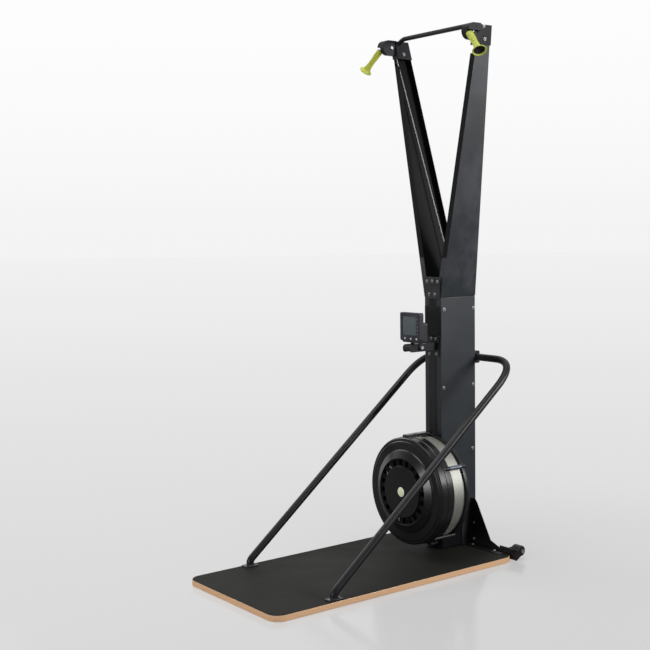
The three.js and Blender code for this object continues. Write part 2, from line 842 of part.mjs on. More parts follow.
function bosses(from, to) {
  const reach = bandRadius + fit + bossRadius;
  return bossAngles.map((degrees) => {
    const angle = THREE.MathUtils.degToRad(degrees);
    const centre = [reach * Math.cos(angle), 0, fanZ + reach * Math.sin(angle)];
    return rod("y", bossRadius, from, to, centre, roundSides / 2);
  });
}

function topBoss(from, to) {
  const floor = fanZ + bandRadius + fit;
  return block([-topBossWidth / 2, from, floor], [topBossWidth / 2, to, floor + topBossHeight]);
}

// The front cover: a stepped bell with a round intake, a disc in its middle and slots round it.
function frontCover() {
  const wall = fanWall;
  const floor = discY + intakeRecess;
  const shoulder = (frontRimY + coverEdgeY) / 2;
  const rimLip = bandRadius - bandWall - wall;
  const profile = [
    [0, discY],
    [discRadius, discY],
    [discRadius + wall, floor],
    [intakeRadius - wall, floor],
    [intakeRadius, discY + wall],
    [chamferRadius, chamferY],
    [chamferRadius + wall, chamferY + 2 * wall],
    [rimInnerRadius, chamferY + 2 * wall],
    [rimInnerRadius + wall, frontRimY],
    [fanRadius - 3 * wall, frontRimY],
    [fanRadius - wall, frontRimY + 2 * wall],
    [fanRadius - wall, shoulder],
    [fanRadius, shoulder + wall],
    [fanRadius, coverEdgeY],
    [rimLip, coverEdgeY],
    [rimLip, coverEdgeY - wall],
    [fanRadius - 2 * wall, coverEdgeY - 3 * wall],
    [fanRadius - 2 * wall, frontRimY + 3 * wall],
    [rimInnerRadius, frontRimY + wall],
    [chamferRadius, chamferY + 3 * wall],
    [intakeRadius, floor + wall],
    [0, floor + wall],
  ];
  const pitch = 360 / intakeSlots;
  const slots = [];
  for (let i = 0; i < intakeSlots; i++) {
    const start = i * pitch;
    const slot = intakeWindow(start, start + slotShare * pitch);
    slots.push(sheet("y", slot, discY, floor + wall + overrun));
  }
  const travel = intakeWindow(leverAngle - slotShare * pitch, leverAngle + 1.5 * slotShare * pitch);
  slots.push(sheet("y", travel, discY, floor + wall + overrun));
  const bell = turned("y", profile, [0, 0, fanZ], fanSides);
  const ears = [...bosses(coverEdgeY - bossEar, coverEdgeY), topBoss(frontRimY + 2 * wall, coverEdgeY)];
  piece("fan_front_cover", joined(cut(bell, ...slots), ...ears), finish.plastic);
}

// The damper: a ring with the same windows, turned by a short lever in the widest slot.
const leverAngle = -90 + (360 / intakeSlots) * slotShare * 1.5;
function damper() {
  const front = discY + intakeRecess + fanWall + fit;
  const back = front + damperThickness;
  const pitch = 360 / intakeSlots;
  const middle = [0, 0, fanZ];
  const rim = ring("y", intakeRadius - fit, discRadius - slotMargin, front, back, middle, fanSides);
  const slots = [];
  for (let i = 0; i < intakeSlots; i++) {
    const start = i * pitch;
    const slot = intakeWindow(start, start + slotShare * pitch);
    slots.push(sheet("y", slot, front - overrun, back + overrun));
  }
  const angle = THREE.MathUtils.degToRad(leverAngle);
  const reach = (discRadius + intakeRadius) / 2;
  const centre = [reach * Math.cos(angle), 0, fanZ + reach * Math.sin(angle)];
  const lever = rod("y", damperLeverRadius, back - damperLever - damperThickness, back, centre, 8);
  piece("damper_ring", joined(cut(rim, ...slots), lever), finish.pulley);
}

// The rest of the fan's casing: the band, the back housing and the cap in the middle.
function fanCasing() {
  const middle = [0, 0, fanZ];
  const inner = bandRadius - bandWall;
  const band = ring("y", bandRadius, inner, coverEdgeY + fit, backRimY - fit, middle, fanSides);
  piece("fan_band", band, finish.band);
  const wall = fanWall;
  const rimLip = inner - wall;
  const profile = [
    [backHole, fanBackY - backPlate],
    [rimLip, fanBackY - backPlate],
    [rimLip, backRimY],
    [fanRadius, backRimY],
    [fanRadius, fanBackY - 2 * wall],
    [fanRadius - 2 * wall, fanBackY],
    [backHole, fanBackY],
    [backHole, fanBackY - backPlate],
  ];
  const back = turned("y", profile, middle, fanSides);
  const arms = [...bosses(coverEdgeY + fit, fanBackY), topBoss(coverEdgeY + fit, fanBackY)];
  piece("fan_back_housing", joined(back, ...arms), finish.plastic);
  const face = discY - fit;
  const dome = [
    [0, face - capThickness],
    [0.7 * capRadius, face - 0.9 * capThickness],
    [0.95 * capRadius, face - 0.5 * capThickness],
    [capRadius, face],
    [0, face],
  ];
  piece("centre_cap", turned("y", dome, middle), finish.cap);
}

// The flywheel, its shaft, the two bearings and the plate between the fan and the column.
function driveLine() {
  const middle = [0, 0, fanZ];
  const bore = shaftRadius + fit;
  const centreY = (flywheelFront + flywheelBack) / 2;
  const hub = ring("y", flywheelHub, bore, flywheelFront, flywheelBack, middle);
  const disc = ring(
    "y",
    flywheelRadius,
    flywheelHub - columnWall,
    centreY - flywheelDisc / 2,
    centreY + flywheelDisc / 2,
    middle,
    fanSides,
  );
  const blades = [];
  const bladeHalf = bladeWall / 2;
  for (let i = 0; i < bladeCount; i++) {
    const blade = block(
      [flywheelRadius - bladeLength, flywheelFront, -bladeHalf],
      [flywheelRadius, flywheelBack, bladeHalf],
    );
    const turn = new THREE.Matrix4().makeRotationY((2 * Math.PI * i) / bladeCount).setPosition(...middle);
    blades.push(blade.transform(turn.toArray()));
  }
  piece("flywheel", joined(hub, disc, ...blades), finish.pulley);
  const shaftFront = flywheelFront - shaftNose;
  const shaftEnd = columnInnerBack - shaftEndRoom;
  piece("drive_shaft", rod("y", shaftRadius, shaftFront, shaftEnd, middle), finish.steel);
  const plateFront = fanBackY + fit;
  const plateBack = columnFront - fit;
  const half = mountPlateHeight / 2;
  const halfWidth = columnHalf - mountPlateInset;
  const plate = roundedBox(-halfWidth, fanZ - half, halfWidth, fanZ + half, bossRadius);
  const hole = rod("y", bearingRadius + fit, plateFront - overrun, plateBack + overrun, middle);
  piece("fan_mount_plate", cut(sheet("y", plate, plateFront, plateBack), hole), finish.black);
  piece("front_bearing", ring("y", bearingRadius, bore, plateFront, plateBack, middle), finish.steel);
  const back = columnInnerBack - fit;
  const rearProfile = [
    [bore, back - rearBearingLength],
    [bearingRadius, back - rearBearingLength],
    [bearingRadius, back - bearingFlangeWall],
    [bearingFlange, back - bearingFlangeWall],
    [bearingFlange, back],
    [bore, back],
    [bore, back - rearBearingLength],
  ];
  piece("rear_bearing", turned("y", rearProfile, middle), finish.steel);
}

// The braces: each rises from its foot plate and turns in behind the column.
function braces() {
  const footBottom = deckTop + fit;
  const start = footBottom + braceFootWall / 2;
  const corner = new THREE.Vector3(braceX, clampY, braceHeight);
  const knee = new THREE.Vector3(braceX, braceFootY + braceKneeForward, deckTop + braceKneeHeight);
  const slope = corner.clone().sub(knee).normalize();
  const inward = corner.clone();
  inward.x -= braceBend;
  const bend = new THREE.QuadraticBezierCurve3(
    corner.clone().addScaledVector(slope, -braceBend),
    corner,
    inward,
  );
  const route = [
    [braceX, braceFootY, start],
    [braceX, braceFootY, start + braceRadius],
    [braceX, braceFootY + 0.2 * braceRadius, start + 1.4 * braceRadius],
    knee.clone().addScaledVector(slope, -braceRadius / 2).toArray(),
    knee.clone().addScaledVector(slope, braceRadius).toArray(),
    ...bend.getPoints(10).map((point) => point.toArray()),
    [fit, clampY, braceHeight],
  ];
  for (const [name, side] of Object.entries(sides)) {
    const bent = tube(route.map(([x, y, z]) => [side * x, y, z]), braceRadius, braceSides);
    const reach = braceFootLength / 2;
    const shape = roundedBox(
      side * braceX - braceFootWidth / 2,
      braceFootY - reach,
      side * braceX + braceFootWidth / 2,
      braceFootY + reach,
      2 * braceFootWall,
    );
    const foot = sheet("z", shape, footBottom, footBottom + braceFootWall);
    piece("brace_" + name, joined(bent, foot), finish.black);
  }
  const half = clampHeight / 2;
  const low = braceHeight - half;
  const saddle = roundedBox(columnBack + fit, low, clampBack, low + clampHeight, 2 * clampWall);
  const body = sheet("x", saddle, -clampWidth / 2, clampWidth / 2);
  const bore = rod("x", braceRadius + fit, -clampWidth, clampWidth, [0, clampY, braceHeight]);
  piece("brace_clamp", cut(body, bore), finish.black);
}

// The transport wheels, between two cheeks behind the back corners of the board.
function wheels() {
  for (const [name, side] of Object.entries(sides)) {
    const innerFace = wheelX - wheelWidth / 2 - wheelClearance;
    const outerFace = wheelX + wheelWidth / 2 + wheelClearance;
    const front = boardLength + fit;
    const webInner = boardWidth / 2 - wheelWebReach;
    const webTop = boardThickness + wheelWebRise;
    const parts = [
      block([side * webInner, front, wheelWebBottom], [side * outerFace, front + wheelPlate, webTop]),
    ];
    for (const inner of [innerFace - wheelPlate, outerFace]) {
      const cheek = new THREE.Shape();
      cheek.moveTo(front, wheelWebBottom);
      cheek.lineTo(wheelY, wheelZ - wheelHubRadius);
      cheek.absarc(wheelY, wheelZ, wheelHubRadius, -Math.PI / 2, Math.PI / 2);
      cheek.lineTo(front, webTop);
      parts.push(sheet("x", cheek, side * inner, side * (inner + wheelPlate)));
    }
    const centre = [0, wheelY, wheelZ];
    const inEnd = innerFace - wheelPlate;
    const outEnd = outerFace + wheelPlate;
    const bore = rod("x", axleRadius + fit, side * (inEnd - overrun), side * (outEnd + overrun), centre);
    piece("wheel_bracket_" + name, cut(joined(...parts), bore), finish.black);
    const half = wheelWidth / 2;
    const profile = [
      [axleRadius + fit, -half],
      [wheelHubRadius, -half],
      [wheelHubRadius, -half + wheelDish],
      [wheelRadius - wheelDish, -half + wheelDish],
      [wheelRadius - wheelDish, -half],
      [wheelRadius - wheelDish / 4, -half + wheelDish / 4],
      [wheelRadius, -half + wheelDish],
    ];
    const other = profile.map(([radius, along]) => [radius, -along]).reverse();
    const tyre = turned("x", [...profile, ...other, profile[0]], [side * wheelX, wheelY, wheelZ]);
    piece("wheel_" + name, tyre, finish.rubber);
    const head = axleRadius + pinHeadThickness;
    const axle = joined(
      rod("x", axleRadius, side * inEnd, side * (outEnd + fit + pinHeadThickness), centre),
      rod("x", head, side * (outEnd + fit), side * (outEnd + fit + pinHeadThickness), centre),
    );
    piece("wheel_axle_" + name, axle, finish.steel);
  }
}

// The bracket of the display and the knob whose bolt is the tilt axis.
function displayBracket() {
  const back = columnFront - fit;
  const front = back - frontPlate;
  const beamFront = displayY - beamLead;
  const top = pivotZ + beamRise;
  const bottom = pivotZ - beamDrop;
  const half = flangeWidth / 2;
  const plate = roundedBox(-half, bottom - flangeDrop, half, top + flangeRise, 2 * frontPlate);
  const flange = sheet("y", plate, front, back);
  const side = new THREE.Shape();
  side.moveTo(front + frontPlate / 2, bottom);
  side.lineTo(front + frontPlate / 2, top);
  side.lineTo(beamFront + beamNose, top);
  side.absarc(beamFront + beamNose, top - beamNose, beamNose, Math.PI / 2, Math.PI);
  side.lineTo(beamFront, bottom + beamNose);
  side.absarc(beamFront + beamNose, bottom + beamNose, beamNose, Math.PI, 1.5 * Math.PI);
  const beam = sheet("x", side, -beamHalfWidth, beamHalfWidth);
  const room = block(
    [-beamHalfWidth + frontPlate, beamFront + frontPlate, bottom - overrun],
    [beamHalfWidth - frontPlate, front, top - frontPlate],
  );
  const reach = beamHalfWidth + overrun;
  const bore = rod("x", pivotRadius + fit, -reach, reach, [0, pivotY, pivotZ]);
  piece("monitor_bracket", joined(cut(beam, room, bore), flange), finish.black);
  const lugOut = beamHalfWidth + fit + lugWall;
  const bolt = rod("x", pivotRadius, -lugOut, lugOut + fit + knobLength / 2, [0, pivotY, pivotZ]);
  const grip = rod("x", knobRadius, lugOut + fit, lugOut + fit + knobLength, [0, pivotY, pivotZ]);
  piece("monitor_knob", joined(bolt, grip), finish.steel);
}

// The places of the display's buttons: three below the screen, five beside it.
function buttonPlaces() {
  const half = displayWidth / 2;
  const places = bottomButtonShares.map((share, i) => ({
    name: "button_bottom_" + (i + 1),
    x: share * half,
    z: displayBottom + bottomButtonRise,
    radius: bottomButtonRadius,
  }));
  const x = half - sideButtonInset;
  for (let i = 0; i < sideButtonCount; i++) {
    const z = screenBottom + sideButtonRise + i * sideButtonStep;
    places.push({ name: "button_side_" + (i + 1), x, z, radius: sideButtonRadius });
  }
  return places;
}

// The display: front frame, screen, back shell with its two lugs, and buttons.
function display() {
  const half = displayWidth / 2;
  const frontBack = displayY + displayFrontDepth;
  const screenLeft = -half + screenLeftMargin;
  const screenRight = half - screenRightMargin;
  const screenTop = displayTop - screenTopMargin;
  const faceShape = roundedBox(-half, displayBottom, half, displayTop, displayCorner);
  const holes = buttonPlaces().map(({ x, z, radius }) =>
    rod("y", radius + fit, displayY - overrun, frontBack + overrun, [x, 0, z]),
  );
  const window = block(
    [screenLeft, displayY - overrun, screenBottom],
    [screenRight, frontBack + overrun, screenTop],
  );
  const frame = sheet("y", faceShape, displayY, frontBack);
  piece("monitor_front", cut(frame, window, ...holes), finish.plastic);
  const screen = block(
    [screenLeft + fit, displayY + screenSink, screenBottom + fit],
    [screenRight - fit, displayY + screenSink + screenThickness, screenTop - fit],
  );
  piece("monitor_screen", screen, finish.screen);

  const shellFront = frontBack + fit;
  const wall = displayWall;
  const shallow = sheet("y", faceShape, shellFront, displayY + displayDepth);
  const deepHalf = half - wall;
  const deepBottom = displayBottom - displayDeepOverhang;
  const deepTop = displayTop - displayDeepDrop;
  const deepShape = roundedBox(-deepHalf, deepBottom, deepHalf, deepTop, displayCorner);
  const deep = sheet("y", deepShape, shellFront, displayY + displayDeepDepth);
  const room = block(
    [-half + 2 * wall, shellFront - overrun, displayBottom + wall],
    [half - 2 * wall, displayY + displayDepth - wall, displayTop - wall],
  );
  const deepRoom = block(
    [-deepHalf + wall, shellFront - overrun, displayBottom + wall],
    [deepHalf - wall, displayY + displayDeepDepth - wall, deepTop - wall],
  );
  const lug = new THREE.Shape();
  lug.moveTo(pivotY - lugRadius, pivotZ);
  lug.lineTo(pivotY - lugRadius, deepBottom + wall);
  lug.lineTo(displayY + displayDeepDepth, deepBottom + wall);
  lug.lineTo(pivotY + lugRadius, pivotZ);
  lug.absarc(pivotY, pivotZ, lugRadius, 0, -Math.PI, true);
  const inner = beamHalfWidth + fit;
  const lugs = Object.values(sides).map((side) =>
    sheet("x", lug, side * inner, side * (inner + lugWall)),
  );
  const bore = rod("x", pivotRadius + fit, -half, half, [0, pivotY, pivotZ]);
  const shell = cut(joined(cut(joined(shallow, deep), room, deepRoom), ...lugs), bore);
  piece("monitor_back", shell, finish.plastic);

  for (const { name, x, z, radius } of buttonPlaces()) {
    const rest = frontBack + fit;
    const button = joined(
      rod("y", radius, displayY - buttonProud, rest + buttonCollar, [x, 0, z]),
      rod("y", radius + buttonCollarWall, rest, rest + buttonCollar, [x, 0, z]),
    );
    piece(name, button, finish.button);
  }
}

platform();
column();
arms();
baseBracket();
frontPlates();
pulleyHousings();
topPulleys();
crossbar();
handles();
driveCords();
guides();
drums();
returnLine();
frontCover();
damper();
fanCasing();
driveLine();
braces();
wheels();
displayBracket();
display();

export default machine;
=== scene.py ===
# A ski trainer on its floor stand, dressed for a studio picture. Metres, +Z up, the user stands
# on the -Y side. Every piece sits where the model's frame has it.
import math

import bmesh
import bpy
from mathutils import Matrix, Vector


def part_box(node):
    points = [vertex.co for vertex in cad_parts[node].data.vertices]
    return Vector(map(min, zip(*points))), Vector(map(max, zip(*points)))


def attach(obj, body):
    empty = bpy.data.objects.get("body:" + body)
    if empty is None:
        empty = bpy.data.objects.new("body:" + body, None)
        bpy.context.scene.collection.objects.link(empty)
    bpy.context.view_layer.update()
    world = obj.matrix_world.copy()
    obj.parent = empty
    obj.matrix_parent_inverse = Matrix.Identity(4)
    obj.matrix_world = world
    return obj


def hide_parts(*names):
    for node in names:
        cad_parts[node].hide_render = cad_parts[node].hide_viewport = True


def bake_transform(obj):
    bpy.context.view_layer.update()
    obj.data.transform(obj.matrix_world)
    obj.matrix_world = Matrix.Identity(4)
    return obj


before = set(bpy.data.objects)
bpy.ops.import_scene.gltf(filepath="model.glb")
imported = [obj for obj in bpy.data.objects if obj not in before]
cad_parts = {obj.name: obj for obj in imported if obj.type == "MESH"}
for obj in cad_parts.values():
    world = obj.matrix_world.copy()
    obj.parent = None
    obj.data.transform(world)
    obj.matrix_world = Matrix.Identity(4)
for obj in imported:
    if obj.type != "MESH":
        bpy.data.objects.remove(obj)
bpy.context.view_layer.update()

# Camera
# It stands before the machine and to its right, a little above the display, and looks slightly
# down. The focal length is in pixels of a picture 650 pixels wide.
CAMERA_PLACE = Vector((3.5631, -2.8604, 1.3764))
CAMERA_YAW = math.radians(52.89)
CAMERA_PITCH = math.radians(4.76)
CAMERA_ROLL = math.radians(-0.81)
FOCAL_PIXELS = 1157.6
PICTURE_PIXELS = 650

forward = Vector((
    -math.sin(CAMERA_YAW) * math.cos(CAMERA_PITCH),
    math.cos(CAMERA_YAW) * math.cos(CAMERA_PITCH),
    -math.sin(CAMERA_PITCH),
))
level = Vector((math.cos(CAMERA_YAW), math.sin(CAMERA_YAW), 0))
upright = level.cross(forward)
HEADING = Vector((forward.x, forward.y, 0)).normalized()
right = math.cos(CAMERA_ROLL) * level + math.sin(CAMERA_ROLL) * upright
up = math.cos(CAMERA_ROLL) * upright - math.sin(CAMERA_ROLL) * level
camera_data = bpy.data.cameras.new("camera")
camera_data.sensor_width = 36
camera_data.lens = camera_data.sensor_width * FOCAL_PIXELS / PICTURE_PIXELS
camera_data.clip_end = 60
camera = bpy.data.objects.new("camera", camera_data)
bpy.context.scene.collection.objects.link(camera)
camera.matrix_world = Matrix((
    (right.x, up.x, -forward.x, CAMERA_PLACE.x),
    (right.y, up.y, -forward.y, CAMERA_PLACE.y),
    (right.z, up.z, -forward.z, CAMERA_PLACE.z),
    (0, 0, 0, 1),
))
bpy.context.scene.camera = camera
bpy.context.scene.view_settings.view_transform = "Standard"

# Studio
# A pale floor and a pale backdrop under soft panels of light. The floor keeps the machine's shadow,
# and takes the backdrop's tones the further it lies from the machine.
FLOOR_COLOUR = (0.86, 0.86, 0.865)
FLOOR_ROUGHNESS = 0.14
FLOOR_SHINE = 0.4
FLOOR_REACH = 60
FADE_SPAN = (0.7, 2.3)
FADE_LEAST = 0.5
ROOM_LIGHT = 0.30
ROOM_MIRRORED = (0.16, 1.0)
SKY_AHEAD = 0.9
FLOOR_AHEAD = 4.0
SKY_TONES = [(0.0, 0.896), (0.0415, 0.930), (0.158, 0.982)]
FLOOR_TONES = [(0.0, 0.896), (0.062, 0.847), (0.131, 0.791), (0.166, 0.768), (0.220, 0.745),
               (0.283, 0.708), (0.354, 0.687)]
TONE_SPAN = 0.36
LIT_POINT = Vector((0, 0.3, 0.9))
PANELS = {
    "panel_right": {"place": (3.9, 2.4, 2.3), "size": (1.6, 1.6), "watts": 160},
    "panel_front": {"place": (-0.1, -4.0, 0.85), "size": (1.4, 1.5), "watts": 48},
    "panel_left": {"place": (-3.2, -0.4, 2.6), "size": (1.2, 2.4), "watts": 20},
    "panel_top": {"place": (0.0, -0.2, 4.4), "size": (2.6, 2.6), "watts": 66},
}


def fed(tree, socket, value):
    """Links a socket to another one, or sets it to a number, a vector or a colour."""
    if isinstance(value, bpy.types.NodeSocket):
        tree.links.new(value, socket)
    elif value is not None:
        socket.default_value = (*value, 1) if socket.type == "RGBA" else value


def wired(tree, kind, *inputs, **values):
    """A node with its settings and sockets given by name, or its first sockets in their order."""
    node = tree.nodes.new(kind)
    for name, value in values.items():
        socket = name.replace("_", " ").title()
        if socket in node.inputs:
            fed(tree, node.inputs[socket], value)
        else:
            setattr(node, name, value)
    for socket, value in zip(node.inputs, inputs):
        fed(tree, socket, value)
    return node


def maths(tree, operation, *values):
    """A sum of sockets or numbers."""
    return wired(tree, "ShaderNodeMath", *values, operation=operation).outputs[0]


def measured(tree, operation, *vectors):
    """A number that comes of vectors, such as a length."""
    return wired(tree, "ShaderNodeVectorMath", *vectors, operation=operation).outputs["Value"]


def spread(tree, value, span, to=(0.0, 1.0), smooth=False):
    """A value brought from one range to another, held within it."""
    kind = "SMOOTHSTEP" if smooth else "LINEAR"
    return wired(tree, "ShaderNodeMapRange", value, *span, *to, interpolation_type=kind).outputs[0]


def split(tree, vector):
    """The three parts of a vector."""
    return wired(tree, "ShaderNodeSeparateXYZ", vector).outputs


def place_in(tree):
    """The place of a point in the model's frame."""
    return wired(tree, "ShaderNodeTexCoord").outputs["Object"]


def backdrop_rays(tree):
    """1 where a ray comes from the camera, a mirror or a glass, so that it shows the backdrop."""
    rays = wired(tree, "ShaderNodeLightPath").outputs
    seen = maths(tree, "MAXIMUM", rays["Is Camera Ray"], rays["Is Glossy Ray"])
    return maths(tree, "MAXIMUM", seen, rays["Is Transmission Ray"])


def mirrored(tree, ahead, full):
    """How much of the backdrop a mirror shows: all of it ahead, little of it behind the camera."""
    mirror = wired(tree, "ShaderNodeLightPath").outputs["Is Glossy Ray"]
    share = spread(tree, ahead, (0, full), ROOM_MIRRORED, smooth=True)
    return wired(tree, "ShaderNodeMix", mirror, None, 1, share, data_type="FLOAT").outputs[0]


def toned(tree, value, tones, span=1.0):
    """Grey tones over a value, each at its place within a span."""
    ramp = wired(tree, "ShaderNodeValToRGB", value)
    stops = ramp.color_ramp.elements
    while len(stops) < len(tones):
        stops.new(0.5)
    for stop, (at, tone) in zip(stops, tones):
        stop.position = at / span
        stop.color = (tone, tone, tone, 1)
    return ramp.outputs["Color"]


def new_material(name, colour, roughness, metallic=0.0, shine=0.5):
    """A material with its shader set, ready for a pattern to be wired in."""
    material = bpy.data.materials.new(name)
    material.use_nodes = True
    shader = material.node_tree.nodes["Principled BSDF"]
    shader.inputs["Base Color"].default_value = (*colour, 1)
    shader.inputs["Roughness"].default_value = roughness
    shader.inputs["Metallic"].default_value = metallic
    shader.inputs["Specular IOR Level"].default_value = shine
    return material, material.node_tree, shader.inputs


world = bpy.data.worlds.new("studio")
bpy.context.scene.world = world
world.use_nodes = True
sky = world.node_tree
sky.nodes.clear()
way = wired(sky, "ShaderNodeTexCoord").outputs["Generated"]
ahead = measured(sky, "DOT_PRODUCT", way, HEADING)
lit = wired(sky, "ShaderNodeBackground", color=(1, 1, 1), strength=ROOM_LIGHT)
seen = wired(sky, "ShaderNodeBackground", color=toned(sky, split(sky, way)["Z"], SKY_TONES),
             strength=mirrored(sky, ahead, SKY_AHEAD))
mix = wired(sky, "ShaderNodeMixShader", backdrop_rays(sky), lit.outputs[0], seen.outputs[0])
wired(sky, "ShaderNodeOutputWorld", surface=mix.outputs[0])

floor_shape = bmesh.new()
bmesh.ops.create_grid(floor_shape, x_segments=2, y_segments=2, size=FLOOR_REACH)
floor_mesh = bpy.data.meshes.new("floor")
floor_shape.to_mesh(floor_mesh)
floor_shape.free()
floor = bpy.data.objects.new("floor", floor_mesh)
bpy.context.scene.collection.objects.link(floor)
floor_paint, tree, paint = new_material("floor_paint", FLOOR_COLOUR, FLOOR_ROUGHNESS,
                                        shine=FLOOR_SHINE)
place = place_in(tree)
from_camera = measured(tree, "DISTANCE", place, (CAMERA_PLACE.x, CAMERA_PLACE.y, 0))
slope = maths(tree, "DIVIDE", CAMERA_PLACE.z / TONE_SPAN, from_camera)
depth = measured(tree, "DOT_PRODUCT", place, HEADING)
far = wired(tree, "ShaderNodeEmission", color=toned(tree, slope, FLOOR_TONES, TONE_SPAN),
            strength=mirrored(tree, depth, FLOOR_AHEAD))
fade = spread(tree, measured(tree, "LENGTH", place), FADE_SPAN, (FADE_LEAST, 1.0), smooth=True)
fade = maths(tree, "MULTIPLY", fade, backdrop_rays(tree))
fade = maths(tree, "MAXIMUM", fade, wired(tree, "ShaderNodeLightPath").outputs["Is Glossy Ray"])
near = tree.nodes["Principled BSDF"].outputs[0]
mix = wired(tree, "ShaderNodeMixShader", fade, near, far.outputs[0])
fed(tree, tree.nodes["Material Output"].inputs["Surface"], mix.outputs[0])
floor_mesh.materials.append(floor_paint)

# The right panel is kept off the floor, which would mirror it as a white patch beside the platform.
unlit = bpy.data.collections.new("out_of_the_right_panel")
unlit.objects.link(floor)
unlit.collection_objects[0].light_linking.link_state = "EXCLUDE"
for name, panel in PANELS.items():
    lamp = bpy.data.lights.new(name, "AREA")
    lamp.shape = "RECTANGLE"
    lamp.size, lamp.size_y = panel["size"]
    lamp.energy = panel["watts"]
    holder = bpy.data.objects.new(name, lamp)
    bpy.context.scene.collection.objects.link(holder)
    holder.location = panel["place"]
    if name == "panel_right":
        holder.light_linking.receiver_collection = unlit
    away = Vector(panel["place"]) - LIT_POINT
    holder.rotation_euler = away.to_track_quat("Z", "Y").to_euler()
    holder.visible_camera = False

# Platform board
# Birch plywood 22 mm thick with rounded corners and eased edges, lacquered clear, so the thin
# plies show all round its edge. It lies on the floor and carries everything else.
PLY_FACE = (0.66, 0.44, 0.28)
PLY_LIGHT = (0.80, 0.52, 0.31)
PLY_DARK = (0.58, 0.33, 0.17)
PLY_PITCH = 0.0022
PLY_WANDER = (6, 6, 40)
PLY_FIBRE = (160, 160, 1400)
PLY_FIGURE = (14, 1.4, 14)
PLY_GLOSS = 0.42
PLY_COAT = 0.25
FIBRE_BUMP = (0.35, 0.0002)
BOARD_SIDE = (0.7, 0.95)
BOARD_CORNER = 0.05
BOARD_EASE = 0.0018
CORNER_STEPS = 16


def new_group(name, takes, gives):
    """A shader group with its sockets, and what it takes and gives."""
    group = bpy.data.node_groups.new(name, "ShaderNodeTree")
    for side, sockets in (("INPUT", takes), ("OUTPUT", gives)):
        for label, kind in sockets:
            group.interface.new_socket(label, in_out=side, socket_type="NodeSocket" + kind)
    taken, given = group.nodes.new("NodeGroupInput"), group.nodes.new("NodeGroupOutput")
    return group, taken.outputs, given.inputs


def blended(tree, share, first, second):
    """A colour between two, each a socket or three numbers."""
    node = wired(tree, "ShaderNodeMix", data_type="RGBA", factor=share)
    fed(tree, node.inputs[6], first)
    fed(tree, node.inputs[7], second)
    return node.outputs[2]


def scaled(tree, vector, by):
    """A vector stretched by a socket or by three numbers."""
    return wired(tree, "ShaderNodeVectorMath", vector, by, operation="MULTIPLY").outputs[0]


def noise(tree, place, by, detail=3.0, rough=0.5):
    """Noise over a place that is stretched to the size of its grains."""
    node = wired(tree, "ShaderNodeTexNoise", scale=1.0, detail=detail, roughness=rough,
                 vector=scaled(tree, place, by))
    return node.outputs["Fac"]


def bumped(tree, height, strength, distance, **settings):
    """The normal of a surface that rises and falls with a height."""
    node = wired(tree, "ShaderNodeBump", strength=strength, distance=distance, height=height,
                 **settings)
    return node.outputs[0]


# Grain: fine grains of one size over the whole surface, as a normal and as a mask.
tree, taken, given = new_group(
    "surface_grain",
    [("Grain Size", "Float"), ("Grain Depth", "Float")],
    [("Normal", "Vector"), ("Mask", "Float")],
)
grain_group = tree
grains = noise(tree, place_in(tree), maths(tree, "DIVIDE", 1.0, taken["Grain Size"]), detail=2.0)
fed(tree, given["Normal"], bumped(tree, grains, 1.0, taken["Grain Depth"]))
fed(tree, given["Mask"], grains)

# Wear: paler edges where hands and shoes reach, and gloss and colour that vary softly.
WEAR_PATCH = (9.0, 9.0, 9.0)
WEAR_CLOUD = (3.2, 3.2, 3.2)
CLOUD_SPAN = (0.3, 0.7)
CLOUD_SHADE = (0.92, 1.08)
WORN_EDGE = (0.52, 0.60)
WORN_PATCH = (0.42, 0.62)
tree, taken, given = new_group(
    "handled_wear",
    [("Colour", "Color"), ("Worn Colour", "Color"), ("Wear", "Float"),
     ("Gloss", "Float"), ("Gloss Spread", "Float")],
    [("Colour", "Color"), ("Roughness", "Float")],
)
wear_group = tree
edge = spread(tree, wired(tree, "ShaderNodeNewGeometry").outputs["Pointiness"], WORN_EDGE)
patches = spread(tree, noise(tree, place_in(tree), WEAR_PATCH, detail=5.0), WORN_PATCH)
rubbed = maths(tree, "MULTIPLY", maths(tree, "MULTIPLY", edge, patches), taken["Wear"])
clouds = noise(tree, place_in(tree), WEAR_CLOUD, detail=6.0)
shade = wired(tree, "ShaderNodeHueSaturation", color=taken["Colour"],
              value=spread(tree, clouds, CLOUD_SPAN, CLOUD_SHADE))
fed(tree, given["Colour"], blended(tree, rubbed, shade.outputs[0], taken["Worn Colour"]))
uneven = maths(tree, "MULTIPLY", maths(tree, "SUBTRACT", clouds, 0.5), taken["Gloss Spread"])
fed(tree, given["Roughness"], maths(tree, "ADD", taken["Gloss"], uneven))


def dressed(name, colour, worn, roughness, wear=0.4, grain=0.0006, depth=0.00004,
            metallic=0.0, uneven=0.25, shine=0.5):
    """A finish of one colour with rubbed edges, an uneven gloss and a fine grain."""
    material, tree, shader = new_material(name, colour, roughness, metallic, shine)
    age = wired(tree, "ShaderNodeGroup", node_tree=wear_group, colour=colour, worn_colour=worn,
                wear=wear, gloss=roughness, gloss_spread=uneven)
    skin = wired(tree, "ShaderNodeGroup", node_tree=grain_group, grain_size=grain,
                 grain_depth=depth)
    fed(tree, shader["Base Color"], age.outputs["Colour"])
    fed(tree, shader["Roughness"], age.outputs["Roughness"])
    fed(tree, shader["Normal"], skin.outputs["Normal"])
    return material


def finished(name, shape, material, crease, outward=True):
    """The object of a shape, smooth but for its creases."""
    if outward:
        bmesh.ops.recalc_face_normals(shape, faces=shape.faces)
    mesh = bpy.data.meshes.new(name)
    shape.to_mesh(mesh)
    shape.free()
    mesh.materials.append(material)
    mesh.shade_smooth()
    mesh.set_sharp_from_angle(angle=math.radians(crease))
    made = bpy.data.objects.new(name, mesh)
    bpy.context.scene.collection.objects.link(made)
    return made


